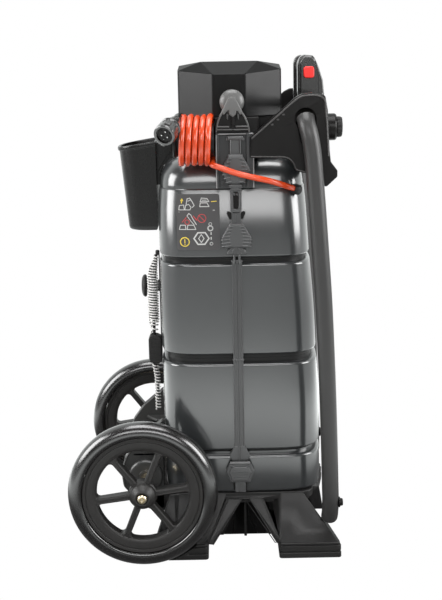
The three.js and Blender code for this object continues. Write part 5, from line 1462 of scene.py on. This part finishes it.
w = bpy.data.worlds.new("studio")
scene.world = w
w.use_nodes = True
nt = w.node_tree
nt.nodes.clear()
wo = nt.nodes.new("ShaderNodeOutputWorld")
b1 = nt.nodes.new("ShaderNodeBackground")
b2 = nt.nodes.new("ShaderNodeBackground")
mxs = nt.nodes.new("ShaderNodeMixShader")
lp = nt.nodes.new("ShaderNodeLightPath")
b1.inputs["Color"].default_value = (1, 1, 1, 1)
b1.inputs["Strength"].default_value = 0.10
b2.inputs["Color"].default_value = (1, 1, 1, 1)
b2.inputs["Strength"].default_value = 1.0
# reflections see a white sweep behind the object and a dark room with a pale floor line in front
wt = nt.nodes.new("ShaderNodeTexCoord")
ws = nt.nodes.new("ShaderNodeSeparateXYZ")
nt.links.new(wt.outputs["Generated"], ws.inputs[0])
wz = nt.nodes.new("ShaderNodeMapRange")
for k_, v_ in (("From Min", -0.03), ("From Max", 0.04), ("To Min", 0.60), ("To Max", 0.06)):
    wz.inputs[k_].default_value = v_
nt.links.new(ws.outputs["Z"], wz.inputs["Value"])
wy = nt.nodes.new("ShaderNodeMapRange")
wy.interpolation_type = "SMOOTHSTEP"
for k_, v_ in (("From Min", -0.05), ("From Max", 0.45), ("To Min", 0.0), ("To Max", 1.0)):
    wy.inputs[k_].default_value = v_
nt.links.new(ws.outputs["Y"], wy.inputs["Value"])
wm = nt.nodes.new("ShaderNodeMix")
nt.links.new(wy.outputs["Result"], wm.inputs[0])
nt.links.new(wz.outputs["Result"], wm.inputs[2])
wm.inputs[3].default_value = 1.0
b3 = nt.nodes.new("ShaderNodeBackground")
b3.inputs["Color"].default_value = (0.97, 1.0, 0.99, 1)
nt.links.new(wm.outputs[0], b3.inputs["Strength"])
mgl = nt.nodes.new("ShaderNodeMixShader")
nt.links.new(lp.outputs["Is Glossy Ray"], mgl.inputs["Fac"])
nt.links.new(b1.outputs[0], mgl.inputs[1])
nt.links.new(b3.outputs[0], mgl.inputs[2])
nt.links.new(lp.outputs["Is Camera Ray"], mxs.inputs["Fac"])
nt.links.new(mgl.outputs[0], mxs.inputs[1])
nt.links.new(b2.outputs[0], mxs.inputs[2])
nt.links.new(mxs.outputs[0], wo.inputs["Surface"])

def area(name, loc, target, size, power, size_y=None):
    d = bpy.data.lights.new(name, "AREA")
    d.shape = "RECTANGLE"
    d.size = size
    d.size_y = size_y or size
    d.energy = power
    o = bpy.data.objects.new(name, d)
    o.location = loc
    o.rotation_euler = (Vector(target) - Vector(loc)).to_track_quat("-Z", "Y").to_euler()
    scene.collection.objects.link(o)
    o.visible_camera = False
    return o
area("softbox_left", (-1.95, -0.60, 1.20), (0, -0.1, 0.35), 1.3, 46, 1.3)
area("softbox_right", (1.95, -0.60, 1.15), (0, -0.1, 0.35), 1.3, 46, 1.3)
area("softbox_top", (0.0, -0.35, 2.4), (0, 0, 0.5), 1.7, 40, 1.2)
area("softbox_front", (0.0, -2.6, 1.50), (0, -0.1, 0.60), 2.6, 36, 0.85)

scene.view_settings.view_transform = "Standard"
scene.view_settings.look = "None"
scene.view_settings.exposure = 0.0
scene.view_settings.gamma = 1.0
